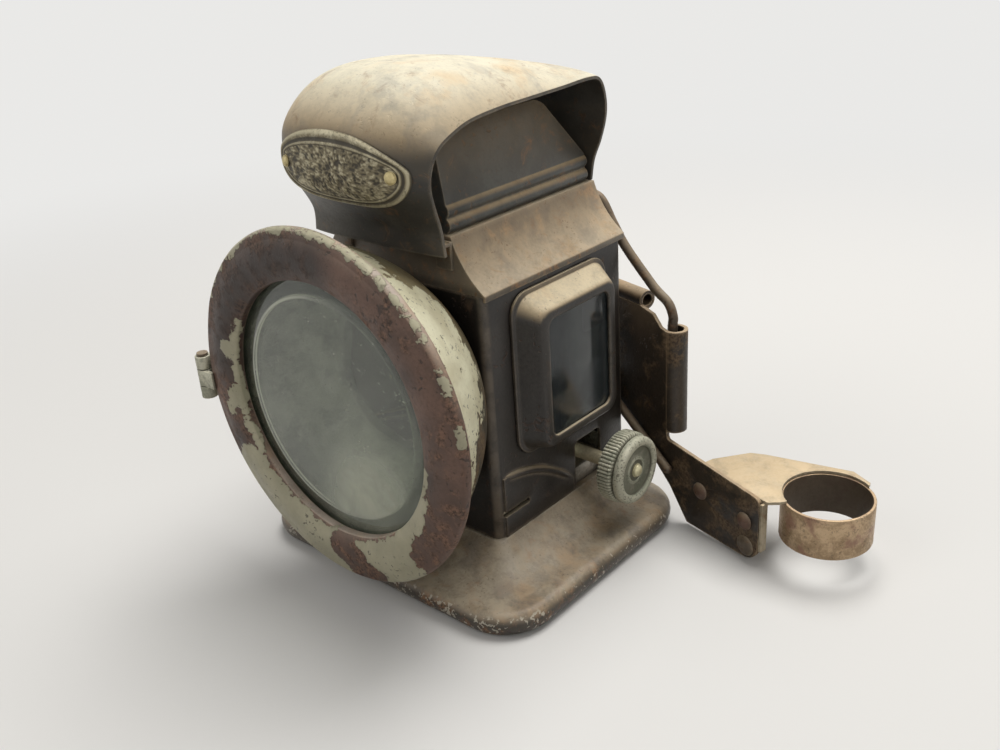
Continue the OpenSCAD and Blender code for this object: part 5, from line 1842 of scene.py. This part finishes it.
@dataclass
class OilFont:
    """The oil font with its collar, catch, burner and wick."""

    bench: Bench
    half: float = 48.0
    front: float = 47.5
    back: float = 31.0
    corner: float = 14.0
    rim_h: float = 6.6
    rim_curl: float = 3.0
    case_half: float = 28.0
    case_r: float = 2.5
    deck_z: float = 14.0
    deck_margin: float = 0.6
    cove_power: float = 2.2
    sheet: float = 0.8
    burner_r: float = 13.0
    burner_y: float = 3.4
    steps: int = 18
    dent_from: float = 1.0
    dent_size: float = 13.0
    dent_depth: float = 0.1

    def plan(self, inset: float) -> list[Flat]:
        """Outline of the font, taken in by an inset."""
        return rounded((-self.half + inset, -self.front + inset), (self.half - inset, self.back - inset),
                       self.corner - inset, self.steps)

    def rim(self, t: float) -> list[Ring]:
        """Rings of the rolled rim.

        Args:
            t: How far the skin is taken in.

        Returns:
            The rings, from the table up.
        """
        rings = []
        for i in range(self.steps + 1):
            a = math.pi * (i / self.steps - 0.5)
            z = self.rim_h / 2 + (self.rim_h / 2 - t) * math.sin(a)
            inset = self.rim_curl - (self.rim_curl - t) * math.cos(a)
            rings.append([Vector((x, y, z)) for x, y in self.plan(inset)])
        return rings

    def cove(self, t: float) -> list[Ring]:
        """Rings of the hollow cove.

        Args:
            t: How far the skin is taken in.

        Returns:
            The rings, from the rim up to the deck.
        """
        grow = self.deck_margin - t
        edge = self.case_half + grow
        deck = rounded((-edge, -edge), (edge, edge), self.case_r + grow, self.steps)
        foot = self.plan(self.rim_curl)
        rings = []
        for i in range(1, self.steps + 1):
            s = i / self.steps
            z = self.rim_h - t + (self.deck_z - self.rim_h) * s**self.cove_power
            rings.append([Vector((a[0] * (1 - s) + b[0] * s, a[1] * (1 - s) + b[1] * s, z))
                          for a, b in zip(foot, deck)])
        return rings

    def hole(self, z: float) -> Ring:
        """Round edge of the burner's hole, with as many points as the font's outline.

        Args:
            z: Height of the edge.

        Returns:
            Its points, each across from the outline's point of the same number.
        """
        count = len(self.plan(0))
        angles = [math.radians(-45 + (j - count / 8 + 0.5) * 360 / count) for j in range(count)]
        r, y = self.burner_r, self.burner_y
        return [Vector((r * math.cos(a), y + r * math.sin(a), z)) for a in angles]

    def build_pan(self) -> None:
        """Builds the pressed pan."""
        outside = self.rim(0) + self.cove(0)
        inside = self.rim(self.sheet) + self.cove(self.sheet)
        rings = outside + [self.hole(self.deck_z), self.hole(self.deck_z - self.sheet)] + inside[::-1]
        points, faces = Form.skin(rings, turn=True, close=True)
        pan = Form.piece("font_pan", points, faces)
        for vertex in pan.data.vertices:
            if vertex.co.z > self.dent_from * MM:
                vertex.co.z += ripple(vertex.co / MM, self.dent_size, self.dent_depth) * MM
        self.bench.fit(pan, "oil_font")

    def build(self) -> None:
        """Builds the font and what stands in it."""
        self.build_pan()
        for node in ("font_bottom", "font_collar", "catch_spring", "catch_rivets", "burner_collar",
                     "burner_plate", "wick_tube", "winder_bearings", "wick"):
            self.bench.keep(node, round_off=0.12)


@dataclass
class Winder:
    """The wick winder with its ridged knob."""

    bench: Bench
    axis_y: float = 8.0
    axis_z: float = 23.5
    knob_x: float = 39.1
    knob_t: float = 7.4
    knob_r: float = 9.8
    knurls: int = 60
    knurl_steps: int = 8
    knurl_depth: float = 0.4
    knurl_power: float = 2.2
    ridge_look: float = 0.85
    groove_look: float = 0.02
    stud_r: float = 1.9
    stud_sunk: float = 1.05
    stud_foot: float = 0.25
    stud_look: float = 0.7

    def about_spindle(self, r: float, x: float, a: float) -> Vector:
        """Point at a radius, a distance along the spindle and an angle."""
        return Vector((x, self.axis_y + r * math.cos(a), self.axis_z + r * math.sin(a)))

    def build_knob(self) -> None:
        """Builds the knob: ridges round its edge, a groove, a raised rim and a sunk face."""
        top, x0, r = self.knob_t, self.knob_x, self.knob_r
        ridged = [(r - 1.0, 0.1), (r - 0.45, 0.2), (r, 0.55), (r, 1.6), (r, 2.8), (r, 3.9), (r - 0.3, 4.3),
                  (r - 0.9, 4.5)]
        plain = [(r - 1.35, 4.62), (r - 1.35, 5.0), (r - 0.95, 5.12), (r - 0.55, 5.3)]
        plain += arc((r - 1.7, top - 1.25), 1.2, 0, 80, 8)
        plain += [(r - 2.3, top - 0.02), (r - 2.75, top - 0.2), (r - 3.0, top - 0.6), (r - 3.05, top - 1.02),
                  (r - 3.3, top - 1.1), (r - 5.9, top - 1.1), (r - 6.1, top - 0.95), (r - 6.7, top - 0.9),
                  (r - 6.9, top - 1.1), (1.0, top - 1.1)]
        back = [(1.0, 1.0), (r - 3.2, 1.0), (r - 3.2, 0.2), (r - 2.9, 0.0), (r - 1.3, 0.0)]
        # How raised each point of the plain profile and of the back looks
        looks = [0.02, 0.02, 0.3, 0.6] + [0.85] * 9 + [1.0, 0.7, 0.25, 0.05, 0.2, 0.28, 0.65, 0.65, 0.12, 0.2]
        looks += [0.45] * len(back)
        segments = self.knurls * self.knurl_steps
        rings, relief = [], []
        for i in range(segments):
            a = 2 * math.pi * i / segments
            sunk = abs(2 * (i % self.knurl_steps) / self.knurl_steps - 1) ** self.knurl_power
            ring = [self.about_spindle(radius - self.knurl_depth * sunk, x0 + x, a) for radius, x in ridged]
            ring += [self.about_spindle(radius, x0 + x, a) for radius, x in plain + back]
            rings.append(ring)
            look = self.ridge_look - (self.ridge_look - self.groove_look) * sunk
            relief += [look] * len(ridged) + looks
        points, faces = Form.skin(rings, turn=True, close=True)
        knob = Form.piece("winder_knob_ridged", points, faces, sharp=42)
        self.bench.fit(Form.mark(Form.batter(knob, size=3.0, depth=0.05), RELIEF, relief), "winder_knob")

    def build_stud(self) -> None:
        """Builds the domed stud in the knob's middle."""
        seat = self.knob_x + self.knob_t - self.stud_sunk
        profile = [(0.0, 0.0), (self.stud_r, 0.0), (self.stud_r, self.stud_foot)]
        profile += dome(self.stud_r * 0.93, self.stud_foot + 0.05, 1.2, 10)
        placed = [(r, seat + s) for r, s in profile]
        stud = Form.lathe("knob_stud_domed", placed, self.about_spindle, segments=48)
        looks = [self.stud_look] * len(stud.data.vertices)
        self.bench.fit(Form.mark(stud, RELIEF, looks), "knob_stud")

    def build(self) -> None:
        """Builds the knob, its stud, the spindle and the feed wheels."""
        self.build_knob()
        self.build_stud()
        self.bench.keep("winder_spindle", round_off=0.2)
        self.bench.keep("feed_wheels", round_off=0.08)


@dataclass
class BailAndBracket:
    """The wire bail at the back, and the bracket with its clip."""

    bench: Bench
    wire_r: float = 1.3
    sleeve: Point = (12.0, 30.18, 90.0)
    pivot: Flat = (42.8, 29.9)
    half_width: float = 28.0
    leg_steps: int = 8
    pin_z: float = 27.5
    yaw: float = 15.0
    ring_at: Flat = (44.4, 12.9)
    ring_r: Flat = (11.1, 11.9)
    ring_z: Flat = (7.55, 19.15)
    ring_soft: float = 0.22
    ring_turns: int = 160

    def leg(self) -> list[Point]:
        """Rows of the bail's sloping leg.

        Returns:
            Points from the sleeve's end down to the pivot.
        """
        half, y, z = self.sleeve
        px, py = self.pivot
        return [
            (half + 1.5, y, z), (self.half_width - 8.5, y, z - 1.4), (self.half_width - 4.5, y, z - 7.5),
            (self.half_width - 0.5, y, z - 13.6), (px - 6.5, py + 0.2, z - 23.2), (px - 1.6, py, z - 27),
            (px, py, z - 30.4), (px, py, z - 32.6)]

    def build_bail(self) -> None:
        """Builds the bail as one bent wire with rounded ends."""
        half, y, z = self.sleeve
        rows = self.leg()
        last = len(rows) - 1
        path = [Vector((x, y, z)) for x in (-half - 2.1, -half - 1.7, -half, 0, half)]
        path += [Vector(spline(rows, i / self.leg_steps)) for i in range(last * self.leg_steps + 1)]
        path += [Vector((*self.pivot, low)) for low in (rows[-1][2] - 4, self.pin_z + 0.4, self.pin_z)]
        wire = Form.sweep("bail_wire_bent", path, self.wire_r)
        self.bench.fit(Form.batter(wire, size=4.0, depth=0.05), "bail_wire")

    def build_ring(self) -> None:
        """Builds the clip's ring as a band with rounded edges."""
        turn = math.radians(-self.yaw)
        u, n = self.ring_at
        centre = (self.pivot[0] + u * math.cos(turn) - n * math.sin(turn),
                  self.pivot[1] + u * math.sin(turn) + n * math.cos(turn))

        def place(r: float, z: float, a: float) -> Vector:
            """Point about the ring's axis."""
            return Vector((centre[0] + r * math.cos(a), centre[1] + r * math.sin(a), z))

        (inner, outer), (low, high), soft = self.ring_r, self.ring_z, self.ring_soft
        profile = arc((outer - soft, low + soft), soft, -90, 0, 3) + [(outer, (low + high) / 2)]
        profile += arc((outer - soft, high - soft), soft, 0, 90, 3)
        profile += arc((inner + soft, high - soft), soft, 90, 180, 3) + [(inner, (low + high) / 2)]
        profile += arc((inner + soft, low + soft), soft, 180, 270, 3)
        band = Form.lathe("clip_band", profile, place, segments=self.ring_turns)
        # How raised each point of the profile looks, used as painted light: a painted highlight on the upper
        # edge and painted shade inside
        looks = [0.5] * 5 + [0.6, 0.75, 0.9, 1.0, 1.0, 0.7, 0.2, 0.08, 0.0] + [0.1] * 4
        self.bench.fit(Form.mark(band, RELIEF, looks * self.ring_turns), "clip_ring")

    def build(self) -> None:
        """Builds the bail, the bracket and the clip."""
        self.build_bail()
        self.build_ring()
        self.bench.keep("bracket_plate", round_off=0.22)
        self.bench.keep("clip_angle", round_off=0.25)
        for node in ("stay_rod", "stay_clip", "clip_rivets", "clip_screw"):
            self.bench.keep(node, round_off=0.15)


# Studio


@dataclass(frozen=True)
class SoftLight:
    """A soft square studio light aimed at the lamp."""

    name: str
    at: Point
    watts: float
    size: float
    tint: Colour = (1.0, 0.98, 0.95)

    def hang(self, target: Vector) -> None:
        """Hangs the light and aims it.

        Args:
            target: Where it aims, in metres.
        """
        data = bpy.data.lights.new(self.name, "AREA")
        data.energy = self.watts
        data.shape = "SQUARE"
        data.size = self.size
        data.color = self.tint
        light = bpy.data.objects.new(self.name, data)
        light.location = self.at
        light.rotation_euler = (target - Vector(self.at)).to_track_quat("-Z", "Y").to_euler()
        bpy.context.scene.collection.objects.link(light)


@dataclass
class Studio:
    """A pale floor, soft lights and the camera at the photographed angle, in metres."""

    eye: Point = (0.18512, -0.19646, 0.16801)
    right: Point = (0.7574, 0.65, -0.0623)
    up: Point = (-0.2322, 0.3573, 0.9046)
    lens: float = 38.41
    sensor: float = 36.0
    near: float = 0.01
    target: Point = (0.01, -0.01, 0.055)
    floor_half: float = 4.0
    floor_z: float = -0.0002
    floor_fade: Flat = (160.0, 520.0)
    floor_rough: float = 0.9
    floor_pale: Colour = (0.80, 0.795, 0.78)
    floor_far: Colour = (0.82, 0.815, 0.80)
    floor_bounce: Colour = (0.26, 0.255, 0.245)
    sky_tint: Colour = (1.0, 0.99, 0.97)
    sky_pale: float = 0.84
    sky_fill: float = 0.22
    lights: tuple[SoftLight, ...] = (
        SoftLight("overhead", (0.05, 0.32, 0.95), watts=8.6, size=0.7),
        SoftLight("front_fill", (-0.50, -0.85, 0.70), watts=2.2, size=0.9),
        SoftLight("side_fill", (0.95, -0.30, 0.50), watts=1.5, size=0.7),
    )

    def plain_rays(self, tree: bpy.types.NodeTree) -> Socket:
        """Tells rays that show the backdrop from those that only light the lamp.

        Args:
            tree: Node tree to build in.

        Returns:
            1 for a ray from the camera, straight, mirrored or through glass, and 0 for others.
        """
        path = tree.nodes.new("ShaderNodeLightPath")
        found = path.outputs["Is Camera Ray"]
        for name in ("Is Glossy Ray", "Is Transmission Ray"):
            node = tree.nodes.new("ShaderNodeMath")
            node.operation = "MAXIMUM"
            tree.links.new(found, node.inputs[0])
            tree.links.new(path.outputs[name], node.inputs[1])
            found = node.outputs[0]
        return found

    def build_floor(self) -> None:
        """Lays the pale floor just under the lamp, fading into the backdrop further off."""
        half = self.floor_half
        mesh = bpy.data.meshes.new("floor")
        corners = [(-half, -half), (half, -half), (half, half), (-half, half)]
        mesh.from_pydata([(x, y, self.floor_z) for x, y in corners], [], [(0, 1, 2, 3)])
        floor = bpy.data.objects.new("floor", mesh)
        bpy.context.scene.collection.objects.link(floor)
        graph = Graph("pale_floor")
        plain = self.plain_rays(graph.tree)
        bounce = graph.mix(plain, self.floor_bounce, self.floor_pale)
        reach = graph.add("ShaderNodeVectorMath", operation="LENGTH")
        graph.feed(reach.inputs[0], graph.place)
        far = graph.times(graph.span(reach.outputs["Value"], *self.floor_fade), plain)
        graph.feed(graph.shader.inputs["Emission Color"], self.floor_far)
        graph.feed(graph.shader.inputs["Emission Strength"], far)
        near = graph.mix(far, bounce, (0.0, 0.0, 0.0))
        mesh.materials.append(graph.dress(near, self.floor_rough, 0.0, graph.noise(3.0), relief=0.02))
        graph.shader.inputs["Specular IOR Level"].default_value = 0.0

    def build_sky(self) -> None:
        """Sets the pale surroundings and their soft fill."""
        world = bpy.data.worlds.new("studio")
        world.use_nodes = True
        bpy.context.scene.world = world
        tree = world.node_tree
        strength = tree.nodes.new("ShaderNodeMapRange")
        tree.links.new(self.plain_rays(tree), strength.inputs[0])
        strength.inputs["To Min"].default_value = self.sky_fill
        strength.inputs["To Max"].default_value = self.sky_pale
        back = tree.nodes["Background"]
        back.inputs["Color"].default_value = (*self.sky_tint, 1.0)
        tree.links.new(strength.outputs[0], back.inputs["Strength"])

    def build_camera(self) -> None:
        """Sets the camera where the photo was taken from."""
        data = bpy.data.cameras.new("camera")
        data.lens = self.lens
        data.sensor_width = self.sensor
        data.sensor_fit = "HORIZONTAL"
        data.clip_start = self.near
        camera = bpy.data.objects.new("camera", data)
        x, y = Vector(self.right).normalized(), Vector(self.up).normalized()
        turn = Matrix((x, y, x.cross(y))).transposed()
        camera.matrix_world = Matrix.Translation(self.eye) @ turn.to_4x4()
        bpy.context.scene.collection.objects.link(camera)
        bpy.context.scene.camera = camera

    def build(self) -> None:
        """Sets the camera, floor, surroundings and lights."""
        bpy.context.scene.view_settings.view_transform = "Standard"
        self.build_camera()
        self.build_floor()
        self.build_sky()
        for light in self.lights:
            light.hang(Vector(self.target))


def main() -> None:
    """Builds the lamp's pieces in order."""
    logging.basicConfig(level=logging.INFO, format="%(message)s")
    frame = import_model()
    Studio().build()
    bench = Bench(frame)
    for assembly in (OilFont, Winder, Case, Hood, LensEnd, BailAndBracket):
        assembly(bench).build()
    left = sorted(set(frame["nodes"]) - bench.replaced)
    LOG.info("nodes with no piece: %s", left)


if __name__ == "__main__":
    main()
